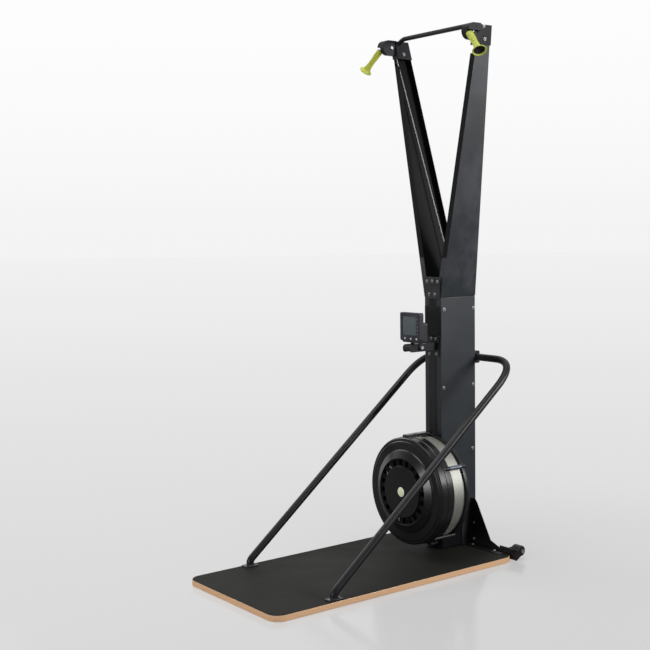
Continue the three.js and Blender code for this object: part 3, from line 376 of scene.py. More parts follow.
def piece(name, shape, material, body, nodes=(), crease=32, outward=True):
    """The finished piece of a shape, riding on its body and standing for its nodes."""
    made = finished(name, shape, material, crease, outward)
    made.modifiers.new("flat_faces", "WEIGHTED_NORMAL").keep_sharp = True
    if nodes:
        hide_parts(*nodes)
    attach(made, body)


def eased(shape, radius, segments=2, over=25, chosen=lambda edge: True):
    """Rounds the edges at which faces meet at more than an angle."""
    edges = [
        edge for edge in shape.edges
        if edge.is_manifold and edge.calc_face_angle(0) > math.radians(over) and chosen(edge)
    ]
    bmesh.ops.bevel(
        shape, geom=edges, offset=radius, offset_type="OFFSET", affect="EDGES",
        segments=segments, profile=0.5, material=-1, clamp_overlap=True,
    )
    return shape


def slab(corners, rise, radius=0.0, segments=12):
    """A flat outline with rounded corners, raised by a vector."""
    shape = bmesh.new()
    shape.faces.new([shape.verts.new(corner) for corner in corners])
    if radius:
        bmesh.ops.bevel(
            shape, geom=list(shape.verts), offset=radius, offset_type="OFFSET",
            affect="VERTICES", segments=segments, profile=0.5, material=-1, clamp_overlap=True,
        )
    raised = bmesh.ops.extrude_face_region(shape, geom=shape.faces[:])["geom"]
    lifted = [part for part in raised if isinstance(part, bmesh.types.BMVert)]
    bmesh.ops.translate(shape, verts=lifted, vec=rise)
    bmesh.ops.recalc_face_normals(shape, faces=shape.faces)
    return shape


def block(low, high, radius=0.0, segments=12):
    """A box between two corners, with its upright edges rounded."""
    floor_of_it = [(low.x, low.y, low.z), (high.x, low.y, low.z), (high.x, high.y, low.z),
                   (low.x, high.y, low.z)]
    return slab(floor_of_it, Vector((0, 0, high.z - low.z)), radius, segments)


plywood, tree, shader = new_material("birch_plywood", PLY_FACE, PLY_GLOSS)
shader["Coat Weight"].default_value = PLY_COAT
place = place_in(tree)
height = maths(tree, "DIVIDE", split(tree, place)["Z"], PLY_PITCH)
wander = maths(tree, "MULTIPLY", noise(tree, place, PLY_WANDER, detail=4.0), 0.5)
ply = maths(tree, "PINGPONG", maths(tree, "ADD", height, wander), 1.0)
fibre = noise(tree, place, PLY_FIBRE, detail=5.0)
edge_tone = blended(tree, spread(tree, ply, (0.42, 0.60)), PLY_LIGHT, PLY_DARK)
edge_tone = blended(tree, spread(tree, fibre, (0.35, 0.75), (0.0, 0.35)), edge_tone, PLY_DARK)
from_glue = maths(tree, "ABSOLUTE", maths(tree, "SUBTRACT", ply, 0.5))
edge_tone = blended(tree, spread(tree, from_glue, (0.0, 0.07), (0.5, 0.0)), edge_tone, PLY_DARK)
figure = noise(tree, place, PLY_FIGURE, detail=6.0, rough=0.62)
face_tone = blended(tree, spread(tree, figure, (0.35, 0.7)), PLY_FACE, PLY_LIGHT)
facing = split(tree, wired(tree, "ShaderNodeNewGeometry").outputs["Normal"])["Z"]
flatness = spread(tree, maths(tree, "ABSOLUTE", facing), BOARD_SIDE)
fed(tree, shader["Base Color"], blended(tree, flatness, edge_tone, face_tone))
fed(tree, shader["Normal"], bumped(tree, fibre, *FIBRE_BUMP))

board = eased(block(*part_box("platform_board"), BOARD_CORNER, CORNER_STEPS), BOARD_EASE, 3)
piece("plywood_board", board, plywood, "root", ["platform_board"])

# Platform mat
# A thin black sheet with a fine pebbled face, glued over the whole board and trimmed with a round
# edge. Shoes leave it a little paler and smoother where they stand.
MAT_COLOUR = (0.016, 0.0157, 0.0140)
MAT_TRODDEN = (0.025, 0.0247, 0.0222)
MAT_PEBBLE = 1 / 0.0011
MAT_DUST = (7, 7, 7)
MAT_SCUFF = (60, 22, 60)
MAT_GLOSS = (0.60, 0.70)
MAT_SHINE = 0.08
PEBBLE_BUMP = (0.6, 0.00012)
MAT_INSET = 0.001
MAT_EASE = 0.0006
STOOD_ON = (0, 0.32, 0)
STANCE = (1.0, 0.8, 0)

deck, tree, shader = new_material("deck_sheet", MAT_COLOUR, 0.5, shine=MAT_SHINE)
place = place_in(tree)
footing = wired(tree, "ShaderNodeMapping", vector=place, location=STOOD_ON).outputs[0]
from_feet = measured(tree, "LENGTH", scaled(tree, footing, STANCE))
dust = noise(tree, place, MAT_DUST, detail=7.0, rough=0.6)
stood_on = maths(tree, "MULTIPLY", spread(tree, from_feet, (0.65, 0.05)),
                 spread(tree, dust, (0.25, 0.75), (0.45, 1.0)))
scuffs = noise(tree, place, MAT_SCUFF, detail=6.0, rough=0.7)
scuffed = maths(tree, "MAXIMUM", stood_on, spread(tree, scuffs, (0.66, 0.74), (0.0, 0.5)))
pebbles = wired(tree, "ShaderNodeTexVoronoi", scale=1.0, feature="SMOOTH_F1",
                vector=scaled(tree, place, (MAT_PEBBLE, MAT_PEBBLE, MAT_PEBBLE)))
fed(tree, shader["Base Color"], blended(tree, scuffed, MAT_COLOUR, MAT_TRODDEN))
fed(tree, shader["Roughness"], spread(tree, dust, CLOUD_SPAN, MAT_GLOSS))
pebbled = bumped(tree, pebbles.outputs["Distance"], *PEBBLE_BUMP, invert=True)
fed(tree, shader["Normal"], pebbled)

mat = block(*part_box("platform_mat"), BOARD_CORNER - MAT_INSET, CORNER_STEPS)
piece("deck_sheet", eased(mat, MAT_EASE), deck, "root", ["platform_mat"])

# Base bracket
# Steel plate 3 mm thick, cut and folded: two wings and two cheeks hold the foot of the column, and
# a flange is bolted down through the board. Satin black powder coat, bolts zinc plated.
BLACK_PAINT = (0.0060, 0.0060, 0.0075)
BLACK_WORN = (0.07, 0.07, 0.08)
ZINC = (0.36, 0.37, 0.39)
ZINC_DULL = (0.30, 0.31, 0.33)
PLATE = 0.003
PLATE_EASE = 0.0007
WING_BOLT_OUT = 0.016
WING_BOLT_HEIGHTS = [0.116, 0.048]
FLANGE_BOLT_X = [0.075, 0.202]
FLANGE_BOLT_INSET = 0.014
FLANGE_WASHER = 0.0012
TO_FRONT = (0, -1, 0)
TO_BACK = (0, 1, 0)
TO_TOP = (0, 0, 1)

black_paint = dressed("black_powder_coat", BLACK_PAINT, BLACK_WORN, 0.42, wear=0.5, grain=0.0007,
                      depth=0.00002, uneven=0.12, shine=0.38)
zinc = dressed("zinc_plating", ZINC, ZINC_DULL, 0.52, wear=0.6, grain=0.0004, depth=0.00001,
               metallic=1.0)


def copied(node):
    """A merged copy of a node's solid, with its flat faces whole."""
    shape = bmesh.new()
    shape.from_mesh(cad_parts[node].data)
    bmesh.ops.remove_doubles(shape, verts=shape.verts, dist=0.00001)
    bmesh.ops.dissolve_limit(
        shape, angle_limit=math.radians(0.5), verts=shape.verts, edges=shape.edges,
        use_dissolve_boundaries=False,
    )
    return shape


def eased_copy(name, node, material, radius, segments=2, over=25, body="root"):
    """A node's own solid with its edges eased, as the piece that stands for it."""
    shape = eased(copied(node), radius, segments, over)
    piece(name, shape, material, body, [node])


def added(shape, part, matrix=Matrix.Identity(4), again=False):
    """Adds another shape, placed by a matrix, and drops it unless it is added again."""
    mesh = bpy.data.meshes.new("part")
    part.to_mesh(mesh)
    mesh.transform(matrix)
    shape.from_mesh(mesh)
    bpy.data.meshes.remove(mesh)
    if not again:
        part.free()


def turned(profile, axis="Z", centre=(0, 0, 0), steps=64, closed=False):
    """A profile of radius and place along the axis, turned once round it."""
    shape = bmesh.new()
    verts = [shape.verts.new((radius, 0, along)) for radius, along in profile]
    edges = [shape.edges.new(pair) for pair in zip(verts, verts[1:])]
    if closed:
        edges.append(shape.edges.new((verts[-1], verts[0])))
    bmesh.ops.spin(
        shape, geom=verts + edges, cent=(0, 0, 0), axis=(0, 0, 1), dvec=(0, 0, 0),
        angle=math.tau, steps=steps, use_merge=True, use_normal_flip=False, use_duplicate=False,
    )
    bmesh.ops.remove_doubles(shape, verts=shape.verts, dist=0.000002)
    bmesh.ops.recalc_face_normals(shape, faces=shape.faces)
    turn = {"X": Matrix.Rotation(math.pi / 2, 4, "Y"), "Y": Matrix.Rotation(-math.pi / 2, 4, "X"),
            "Z": Matrix.Identity(4)}[axis]
    bmesh.ops.transform(shape, verts=shape.verts, matrix=Matrix.Translation(centre) @ turn)
    return shape


def button_head(radius, height):
    """The head of a bolt: a low dome with a hexagon socket."""
    socket, floor_of_socket = 0.45 * radius, 0.35 * height
    profile = [
        (0, floor_of_socket), (socket, floor_of_socket), (socket, 0.96 * height),
        (0.62 * radius, height), (0.84 * radius, 0.78 * height), (0.97 * radius, 0.4 * height),
        (radius, 0),
    ]
    head = turned(profile, steps=24)
    for vert in head.verts:
        flat = Vector((vert.co.x, vert.co.y))
        if abs(flat.length - socket) < 0.02 * radius:
            turn = math.atan2(flat.y, flat.x) % (math.pi / 3) - math.pi / 6
            share = math.cos(math.pi / 6) / math.cos(turn)
            vert.co.x *= share
            vert.co.y *= share
    return head


def bolts(name, places, facing, body="root", radius=0.0054, height=0.0034, washer=0.0,
          material=zinc, slot="bright_steel"):
    """Bolt heads at places on a surface, each on a washer where one is asked for."""
    head = button_head(radius, height)
    if washer:
        rim = 1.4 * radius
        profile = [(0, washer), (1.3 * radius, washer), (rim, 0.7 * washer), (rim, 0)]
        bmesh.ops.translate(head, verts=head.verts, vec=(0, 0, washer))
        added(head, turned(profile, steps=24))
    turn = Vector(facing).to_track_quat("Z", "Y").to_matrix().to_4x4()
    shape = bmesh.new()
    for number, at in enumerate(places):
        twist = Matrix.Rotation(0.7 * number, 4, "Z")
        added(shape, head, Matrix.Translation(at) @ turn @ twist, again=True)
    head.free()
    piece(name, shape, material, body, outward=False)


low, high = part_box("base_bracket")
column_low, column_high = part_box("column_channel")
eased_copy("base_bracket_plate", "base_bracket", black_paint, PLATE_EASE)
wing_bolts = [
    (side * (column_high.x + WING_BOLT_OUT), high.y - PLATE, height)
    for side in (-1, 1) for height in WING_BOLT_HEIGHTS
]
bolts("base_wing_bolts", wing_bolts, TO_FRONT, washer=FLANGE_WASHER)
flange_bolts = [
    (side * x, high.y - PLATE - FLANGE_BOLT_INSET, low.z + PLATE)
    for side in (-1, 1) for x in FLANGE_BOLT_X
]
bolts("base_flange_bolts", flange_bolts, TO_TOP, washer=FLANGE_WASHER)

# Column
# A tall channel folded from steel sheet, with two lips that leave a slot down its front. It is
# satin blue-grey outside, bolted through its sides, and matt black inside. The inside is painted
# pale grey as painted light in the slot, and the foot black as painted shade from the fan.
PANEL_PAINT = (0.0110, 0.0150, 0.0200)
PANEL_WORN = (0.10, 0.10, 0.11)
# Pale grey inside the column is painted light, standing for the light that reaches into the slot.
INSIDE_PAINTED_LIGHT = (0.30, 0.30, 0.32)
COAT_SHINE = (0.1, 0.5)
FACING_OUT = (0.2, 0.4)
FRONT_FACE = 0.002
# Below this height the column's sides are painted black: painted shade where the fan's shadow
# falls.
FOOT_SHADE_HEIGHT = 0.15
FOLD_RADIUS = 0.0038
FOLD_EASE = 0.0005
WASHER = 0.001
COLUMN_BOLTS_FRONT = [(0.018, 1.036), (0.014, 0.709)]
COLUMN_BOLTS_BACK = [(0.010, 1.034), (0.014, 0.710), (0.018, 0.435)]


def lined(name, front, painted_light_below, foot=0.0):
    """Satin panel paint, matt black inside. Painted light: pale grey low inside. Painted shade:
    black foot.
    """
    material = dressed(name, PANEL_PAINT, PANEL_WORN, 0.44, wear=0.35, grain=0.0010,
                       depth=0.00002, uneven=0.05)
    tree, shader = material.node_tree, material.node_tree.nodes["Principled BSDF"].inputs
    at = split(tree, place_in(tree))
    way = split(tree, wired(tree, "ShaderNodeNewGeometry").outputs["Normal"])
    outward = maths(tree, "MULTIPLY", maths(tree, "SIGN", at["X"]), way["X"])
    outward = maths(tree, "MAXIMUM", outward, way["Y"])
    foremost = maths(tree, "LESS_THAN", at["Y"], front + FRONT_FACE)
    outside = spread(tree, maths(tree, "MAXIMUM", outward, foremost), FACING_OUT)
    # Painted shade below the foot height, and painted light as pale grey low inside.
    above_foot_shade = maths(tree, "GREATER_THAN", at["Z"], foot)
    bare = maths(tree, "LESS_THAN", at["Z"], painted_light_below)
    lining = blended(tree, bare, BLACK_PAINT, INSIDE_PAINTED_LIGHT)
    coat = blended(tree, above_foot_shade, BLACK_PAINT, shader["Base Color"].links[0].from_socket)
    fed(tree, shader["Base Color"], blended(tree, outside, lining, coat))
    satin = spread(tree, maths(tree, "MULTIPLY", outside, above_foot_shade), (0.0, 1.0), COAT_SHINE)
    fed(tree, shader["Specular IOR Level"], satin)
    return material


def folded(shape, low, high, radius=FOLD_RADIUS):
    """Rounds the upright outer corners of a folded channel, and then eases its cut edges."""
    def corner(edge):
        sides = all(min(abs(v.co.x - low.x), abs(v.co.x - high.x)) < 0.0002 for v in edge.verts)
        ends = all(min(abs(v.co.y - low.y), abs(v.co.y - high.y)) < 0.0002 for v in edge.verts)
        return sides and ends
    eased(shape, radius, 4, chosen=corner)
    return eased(shape, FOLD_EASE, 2, over=50)


low, high = column_low, column_high
panel_paint = lined("panel_paint", low.y, high.z, FOOT_SHADE_HEIGHT)
channel = folded(copied("column_channel"), low, high)
piece("column_panels", channel, panel_paint, "root", ["column_channel"])
side_places = [(low.y + inset, height) for inset, height in COLUMN_BOLTS_FRONT]
side_places += [(high.y - inset, height) for inset, height in COLUMN_BOLTS_BACK]
for name, x, facing in (("right", high.x, 1), ("left", low.x, -1)):
    places = [(x, y, z) for y, z in side_places]
    bolts("column_bolts_" + name, places, (facing, 0, 0), washer=WASHER)

# Plates over the column's front
# A cover closes the slot behind the display, and a thicker plate ties the two arms to the column
# with five bolts. Between the two the guide pulleys can be seen.
JUNCTION_UPPER = [(-0.031, 0.071), (0.001, 0.073), (0.033, 0.071)]
JUNCTION_LOWER = [(-0.017, 0.018), (0.017, 0.018)]
COVER_SCREWS = [(-0.034, 0.112), (0.034, 0.112), (0.034, 0.010), (-0.034, 0.010)]
MOULDED_BLACK = (0.0075, 0.0075, 0.0095)
MOULDED_WORN = (0.04, 0.04, 0.05)

moulded_black = dressed("moulded_black", MOULDED_BLACK, MOULDED_WORN, 0.48, wear=0.3,
                        grain=0.0009, depth=0.00002, uneven=0.12, shine=0.2)
low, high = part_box("column_cover")
eased_copy("front_cover", "column_cover", moulded_black, 0.0008, 3)
screws = [(x, low.y, low.z + up_by) for x, up_by in COVER_SCREWS]
bolts("front_cover_screws", screws, TO_FRONT, radius=0.0035, height=0.002, material=black_paint,
      slot="black_paint")
low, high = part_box("junction_plate")
eased_copy("fork_plate", "junction_plate", black_paint, PLATE_EASE)
places = [(x, low.y, low.z + up_by) for x, up_by in JUNCTION_UPPER + JUNCTION_LOWER]
bolts("fork_plate_bolts", places, TO_FRONT, washer=WASHER)

# Arms
# Two tapering channels folded like the column and open towards each other. A tongue at the foot of
# each stands inside the column, and the cord runs up through it.
SIDES = {"left": -1, "right": 1}
ARM_EASE = 0.0014

# Below the column's top the arms' insides are painted pale grey as painted light.
arm_paint_with_painted_light = lined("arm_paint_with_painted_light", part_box("arm_right")[0].y, column_high.z)
for side in SIDES:
    eased_copy("arm_panel_" + side, "arm_" + side, arm_paint_with_painted_light, ARM_EASE, 3, over=50)

# Pulley housings
# Two moulded black housings pushed over the arm tops and bolted on from both sides. Each holds a
# pulley in its rounded nose, and a lip on the nose roofs the mouth that the cord comes out of.
NOSE_RADIUS = 0.031
NOSE_CENTRE_Y = 0.3742
ARM_SLOPE = 0.1969
HOUSING_BOLTS_OUT = [(0.2651, 0.4372, 2.159), (0.2557, 0.4512, 2.111)]
HOUSING_BOLT_IN = (0.2222, 0.4462, 2.112)
LIP_BOLT = (0.276, NOSE_CENTRE_Y + 0.012, 2.152)
HOUSING_BOLT = {"radius": 0.0052, "height": 0.003, "washer": WASHER}
HOUSING_EASE = 0.0013
PULLEY_CENTRE = Vector((0.2465, 0.3877, 2.136))


def rounder(shape, axis, centre, radius, cuts=3):
    """Cuts the sides of a many-sided round finer, and brings the new points out to its radius."""
    across = [part for part in range(3) if part != axis]

    def off(vert):
        return math.hypot(*(vert.co[part] - centre[part] for part in across))

    chords = [
        edge for edge in shape.edges
        if all(abs(off(vert) - radius) < 0.00006 for vert in edge.verts)
        and abs(edge.verts[0].co[axis] - edge.verts[1].co[axis]) < 0.00006
        and edge.calc_length() < radius
    ]
    made = bmesh.ops.subdivide_edges(shape, edges=chords, cuts=cuts, use_grid_fill=True)
    for vert in made["geom_inner"]:
        if isinstance(vert, bmesh.types.BMVert) and radius > off(vert) > 0.9 * radius:
            by = radius / off(vert)
            for part in across:
                vert.co[part] = centre[part] + by * (vert.co[part] - centre[part])
    return shape


for side, sign in SIDES.items():
    housing = copied("pulley_housing_" + side)
    rounder(housing, 0, (0, NOSE_CENTRE_Y, PULLEY_CENTRE.z), NOSE_RADIUS, 4)
    eased(housing, HOUSING_EASE, 3, over=30)
    piece("pulley_housing_shell_" + side, housing, moulded_black, "root",
          ["pulley_housing_" + side])
    bolts("housing_bolts_out_" + side, [(sign * x, y, z) for x, y, z in HOUSING_BOLTS_OUT],
          (sign, 0, -ARM_SLOPE), **HOUSING_BOLT)
    x, y, z = HOUSING_BOLT_IN
    bolts("housing_bolt_in_" + side, [(sign * x, y, z)], (-sign, 0, ARM_SLOPE), **HOUSING_BOLT)
    x, y, z = LIP_BOLT
    bolts("housing_lip_bolt_" + side, [(sign * x, y, z)], (sign, 0, 0), radius=0.0038,
          height=0.0024, material=black_paint, slot="black_paint")

# Top pulleys
# A grooved nylon pulley in each housing, moulded grey, with a dished web between its hub and its
# rim. It turns on a zinc plated pin whose head shows on the housing's inner side.
NYLON = (0.42, 0.42, 0.42)
NYLON_WORN = (0.26, 0.26, 0.26)
CORD_RADIUS = 0.0025
GROOVE_CURVE = 2.6
GROOVE_STEPS = 7
PULLEY_RADIUS = 0.025
PULLEY_GROOVE = 0.020
PULLEY_WIDTH = 0.012
HUB_RADIUS = 0.009
BORE_RIM = 0.0016
WEB_DISH = 0.2
WEB_SLOPE = 0.0006
WEB_INSET = 0.0036
PIN_RADIUS = 0.004
PLAY = 0.0003
PIN_HEAD = 0.007
PIN_HEAD_HEIGHT = 0.0035
PIN_HEAD_EASE = 0.0007
PIN_SOCKET = (0.003, 0.0018)
NOSE_WIDTH = 0.023

nylon = dressed("grey_nylon", NYLON, NYLON_WORN, 0.42, wear=0.2, grain=0.0012, depth=0.00002)


def both_ways(profile, between=()):
    """One half of a wheel's profile and its mirror image, with what lies between."""
    return [*profile, *between, *((radius, -along) for radius, along in reversed(profile))]


def grooved(name, node, radius, groove, width, axis, centre, hub=0.0, steps=72,
            bore=PIN_RADIUS + PLAY):
    """A wheel with a round groove for the cord and a dished web between its hub and its rim."""
    half = width / 2
    round_off = min(0.0008, 0.1 * width)
    open_half = half - 0.5 * (half - CORD_RADIUS - PLAY)
    side = [(bore, half), (bore + BORE_RIM, half)]
    if hub:
        dish, web = half - WEB_DISH * half, groove - WEB_INSET
        side += [(hub, half), (hub + WEB_SLOPE, dish), (web - WEB_SLOPE, dish), (web, half)]
    side += [(radius - round_off, half), (radius, half - round_off)]
    hollow = [
        (groove + (radius - groove) * abs(share) ** GROOVE_CURVE, open_half * share)
        for share in [1 - step / GROOVE_STEPS for step in range(2 * GROOVE_STEPS + 1)]
    ]
    wheel = turned(both_ways(side, hollow), axis, centre, steps, closed=True)
    piece(name, wheel, nylon, node, [node])


for side, sign in SIDES.items():
    centre = (sign * PULLEY_CENTRE.x, PULLEY_CENTRE.y, PULLEY_CENTRE.z)
    grooved("top_pulley_wheel_" + side, "top_pulley_" + side, PULLEY_RADIUS, PULLEY_GROOVE,
            PULLEY_WIDTH, "X", centre, HUB_RADIUS)
    outer = NOSE_WIDTH / 2
    head = outer + PLAY + PIN_HEAD_HEIGHT
    socket, sunk = PIN_SOCKET
    profile = [
        (0, outer), (PIN_RADIUS - 0.0005, outer), (PIN_RADIUS, outer - 0.0005),
        (PIN_RADIUS, 0.004 - head), (PIN_HEAD, PIN_HEAD_HEIGHT - head), (PIN_HEAD, 0.0008 - head),
        (PIN_HEAD - PIN_HEAD_EASE, -head), (socket, -head), (socket, sunk - head), (0, sunk - head),
    ]
    pin = turned([(radius, sign * along) for radius, along in profile], "X", centre, 36)
    piece("top_pulley_pin_" + side, pin, zinc, "root", ["pulley_pin_" + side])

# Crossbar
# One steel tube between the housings, bent down a little at both ends and painted black.
CROSSBAR_RADIUS = 0.0095
CROSSBAR_Y = 0.4232
CROSSBAR_TOP = 2.170
CROSSBAR_DIP = 0.022
CROSSBAR_STRAIGHT = 0.190
CROSSBAR_END = 0.2295
CROSSBAR_BEND = 0.0495
CROSSBAR_CURVE = 1.6
CROSSBAR_STEPS = 14


def swept(points, radius, sides=20, label="weave"):
    """A tube along a path. Its UV runs once round it, and in metres along it."""
    shape = bmesh.new()
    layer = shape.loops.layers.uv.new(label)
    path = [Vector(point) for point in points]
    runs = [(after - before).normalized() for before, after in zip(path, path[1:])]
    ahead = [runs[0], *((a + b).normalized() for a, b in zip(runs, runs[1:])), runs[-1]]
    across = ahead[0].orthogonal().normalized()
    rings, lengths = [], [0.0]
    for index, (point, way) in enumerate(zip(path, ahead)):
        if index:
            across = ahead[index - 1].rotation_difference(way) @ across
            lengths.append(lengths[-1] + (point - path[index - 1]).length)
        over = way.cross(across)
        turns = [math.tau * step / sides for step in range(sides)]
        rings.append([
            shape.verts.new(point + radius * (math.cos(turn) * across + math.sin(turn) * over))
            for turn in turns
        ])
    for index, (near, far) in enumerate(zip(rings, rings[1:])):
        for step in range(sides):
            after = (step + 1) % sides
            face = shape.faces.new((near[step], near[after], far[after], far[step]))
            corners = ((step, index), (step + 1, index), (step + 1, index + 1), (step, index + 1))
            for loop, (turn, along) in zip(face.loops, corners):
                loop[layer].uv = (turn / sides, lengths[along])
    shape.faces.new(rings[0])
    shape.faces.new(rings[-1])
    return shape


def bent(points, reach, steps=10):
    """A path whose corners are rounded from a reach before each to a reach after it."""
    path = [Vector(point) for point in points]
    route = [path[0]]
    for before, corner, after in zip(path, path[1:], path[2:]):
        into = (before - corner).normalized() * min(reach, 0.45 * (before - corner).length)
        out = (after - corner).normalized() * min(reach, 0.45 * (after - corner).length)
        start, end = corner + into, corner + out
        for step in range(steps + 1):
            share = step / steps
            route.append(start.lerp(corner, share).lerp(corner.lerp(end, share), share))
    return [*route, path[-1]]


half = []
for step in range(CROSSBAR_STEPS + 1):
    x = CROSSBAR_STRAIGHT + (CROSSBAR_END - CROSSBAR_STRAIGHT) * step / CROSSBAR_STEPS
    drop = CROSSBAR_DIP * ((x - CROSSBAR_STRAIGHT) / CROSSBAR_BEND) ** CROSSBAR_CURVE
    half.append((x, CROSSBAR_Y, CROSSBAR_TOP - drop))
bar = swept([*reversed([(-x, y, z) for x, y, z in half]), *half], CROSSBAR_RADIUS, 28)
piece("crossbar_tube", bar, black_paint, "root", ["crossbar"])

# Handles
# Slim grips of lime rubber that widen into an oval rim at the bottom, so that the hand can't slip
# off. The rim is hollow below, and a black disc lies inside the hollow.
LIME = (0.42, 0.46, 0.045)
LIME_WORN = (0.50, 0.53, 0.12)
HANDLE_TOP = Vector((0.2737, 0.3525, 2.1199))
HANDLE_AXIS = Vector((0.683, -0.185, -0.707)).normalized()
RIM_STRETCH = 1.24
HANDLE_STEPS = 72
GRIP_PROFILE = [
    (0.0, -0.007), (0.0085, -0.007), (0.0112, -0.0057), (0.0122, -0.0025), (0.0123, 0.010),
    (0.0119, 0.026), (0.0112, 0.042), (0.0108, 0.056), (0.0110, 0.070), (0.0121, 0.081),
    (0.0143, 0.0895), (0.0178, 0.0957), (0.0216, 0.0995), (0.0242, 0.1018), (0.0250, 0.1038),
    (0.0246, 0.1054), (0.0236, 0.1060), (0.0225, 0.1053), (0.0218, 0.1030), (0.0196, 0.1006),
]
HOLLOW_DISC_PROFILE = [
    (0.0, 0.0950), (0.0070, 0.0950), (0.0085, 0.0962), (0.0150, 0.0984), (0.0206, 0.1008),
]


def smoothed(points, steps=4):
    """A curve through points, with new ones between each two."""
    held = [Vector(point) for point in points]
    held = [2 * held[0] - held[1], *held, 2 * held[-1] - held[-2]]
    curve = []
    for a, b, c, d in zip(held, held[1:], held[2:], held[3:]):
        for step in range(steps):
            t = step / steps
            curve.append(0.5 * (2 * b + (c - a) * t + (2 * a - 5 * b + 4 * c - d) * t**2
                                + (3 * b - a - 3 * c + d) * t**3))
    return [*curve, held[-2]]


lime = dressed("lime_rubber", LIME, LIME_WORN, 0.55, wear=0.1, grain=0.0015, depth=0.00001,
               uneven=0.05)
across = Vector((0, 0, 1)).cross(HANDLE_AXIS).normalized()
through = HANDLE_AXIS.cross(across)
for side, sign in SIDES.items():
    place = Matrix.Diagonal((sign, 1, 1, 1)) @ Matrix.Translation(HANDLE_TOP) @ Matrix((
        (across.x * RIM_STRETCH, through.x, HANDLE_AXIS.x, 0),
        (across.y * RIM_STRETCH, through.y, HANDLE_AXIS.y, 0),
        (across.z * RIM_STRETCH, through.z, HANDLE_AXIS.z, 0),
        (0, 0, 0, 1),
    ))
    profile = [(max(radius, 0), along) for radius, along in smoothed(GRIP_PROFILE)]
    grip = turned(profile, steps=HANDLE_STEPS)
    bmesh.ops.transform(grip, verts=grip.verts, matrix=place)
    piece("handle_grip_" + side, grip, lime, "handle_" + side, ["handle_" + side])
    # A black disc that lies inside the hollow under the rim.
    hollow_disc = turned(HOLLOW_DISC_PROFILE, steps=HANDLE_STEPS)
    bmesh.ops.transform(hollow_disc, verts=hollow_disc.verts, matrix=place)
    piece("handle_core_" + side, hollow_disc, moulded_black, "handle_" + side)

# Drive cords
# Braided cord 5 mm thick, one for each handle: up from the drum, round the guide pulley, through
# the arm and over the top pulley. The last stretch, from the housing's mouth to the handle, is a
# piece of its own.
CORD_GREY = (0.46, 0.46, 0.45)
# Painted shade in the dips between the strands of the cord.
CORD_DIP_SHADE = (0.16, 0.16, 0.16)
CORD_REACH = CORD_RADIUS + PLAY
FAN_Z = 0.290
DRUM_Y = {"left": 0.5612, "right": 0.5312}
DRUM_GROOVE = 0.0212
DRUM_REACH = DRUM_GROOVE + CORD_REACH
GUIDE_Z = 1.070
GUIDE_GROOVE = 0.011
GUIDE_REACH = GUIDE_GROOVE + CORD_REACH
PIN_X = 0.014
GUIDE_X = PIN_X + GUIDE_REACH
CORD_SIDES = 14
BRAID_STRANDS = 8.0
BRAID_PITCH = 0.0036
OFF_PULLEY = 150
MOUTH_IN = 0.005
TAIL_STILL = 0.4
TAIL_STEPS = 70
KNOT_DEPTH = 0.0004

tree, taken, given = new_group(
    "braid", [("Pitch", "Float")], [("Mask", "Float"), ("Normal", "Vector")],
)
braid_group = tree
lay = split(tree, wired(tree, "ShaderNodeUVMap", uv_map="weave").outputs[0])
round_it = maths(tree, "MULTIPLY", lay["X"], BRAID_STRANDS)
along_it = maths(tree, "DIVIDE", lay["Y"], taken["Pitch"])
with_turn = maths(tree, "ADD", round_it, along_it)
against = maths(tree, "SUBTRACT", round_it, along_it)
cells = maths(tree, "ADD", maths(tree, "FLOOR", with_turn), maths(tree, "FLOOR", against))
parity = maths(tree, "PINGPONG", cells, 1.0)
crest_with = maths(tree, "MULTIPLY", parity, maths(tree, "PINGPONG", with_turn, 0.5))
crest_against = maths(tree, "MULTIPLY", maths(tree, "SUBTRACT", 1.0, parity),
                      maths(tree, "PINGPONG", against, 0.5))
crests = maths(tree, "MULTIPLY", maths(tree, "ADD", crest_with, crest_against), 2.0)
fed(tree, given["Mask"], crests)
fed(tree, given["Normal"], bumped(tree, crests, 0.8, 0.0004))


def braided(name, colour, dip_shade, roughness):
    """Braided yarn: strands that pass over and under each other, with painted shade where they dip.
    """
    material, tree, shader = new_material(name, colour, roughness)
    shader["Sheen Weight"].default_value = 0.15
    braid = wired(tree, "ShaderNodeGroup", node_tree=braid_group, pitch=BRAID_PITCH).outputs
    # Painted shade: the colour turns darker where the strands dip under each other.
    dip_shade_mask = spread(tree, braid["Mask"], (0.05, 0.55))
    fed(tree, shader["Base Color"], blended(tree, dip_shade_mask, dip_shade, colour))
    fed(tree, shader["Normal"], braid["Normal"])
    return material


def arc(centre, reach, start, end, steps, plane="xz"):
    """Points round a centre, between two angles in degrees."""
    points = []
    for step in range(steps + 1):
        angle = math.radians(start + (end - start) * step / steps)
        first, up_by = reach * math.cos(angle), reach * math.sin(angle)
        away = (first, 0, up_by) if plane == "xz" else (0, first, up_by)
        points.append(Vector(centre) + Vector(away))
    return points


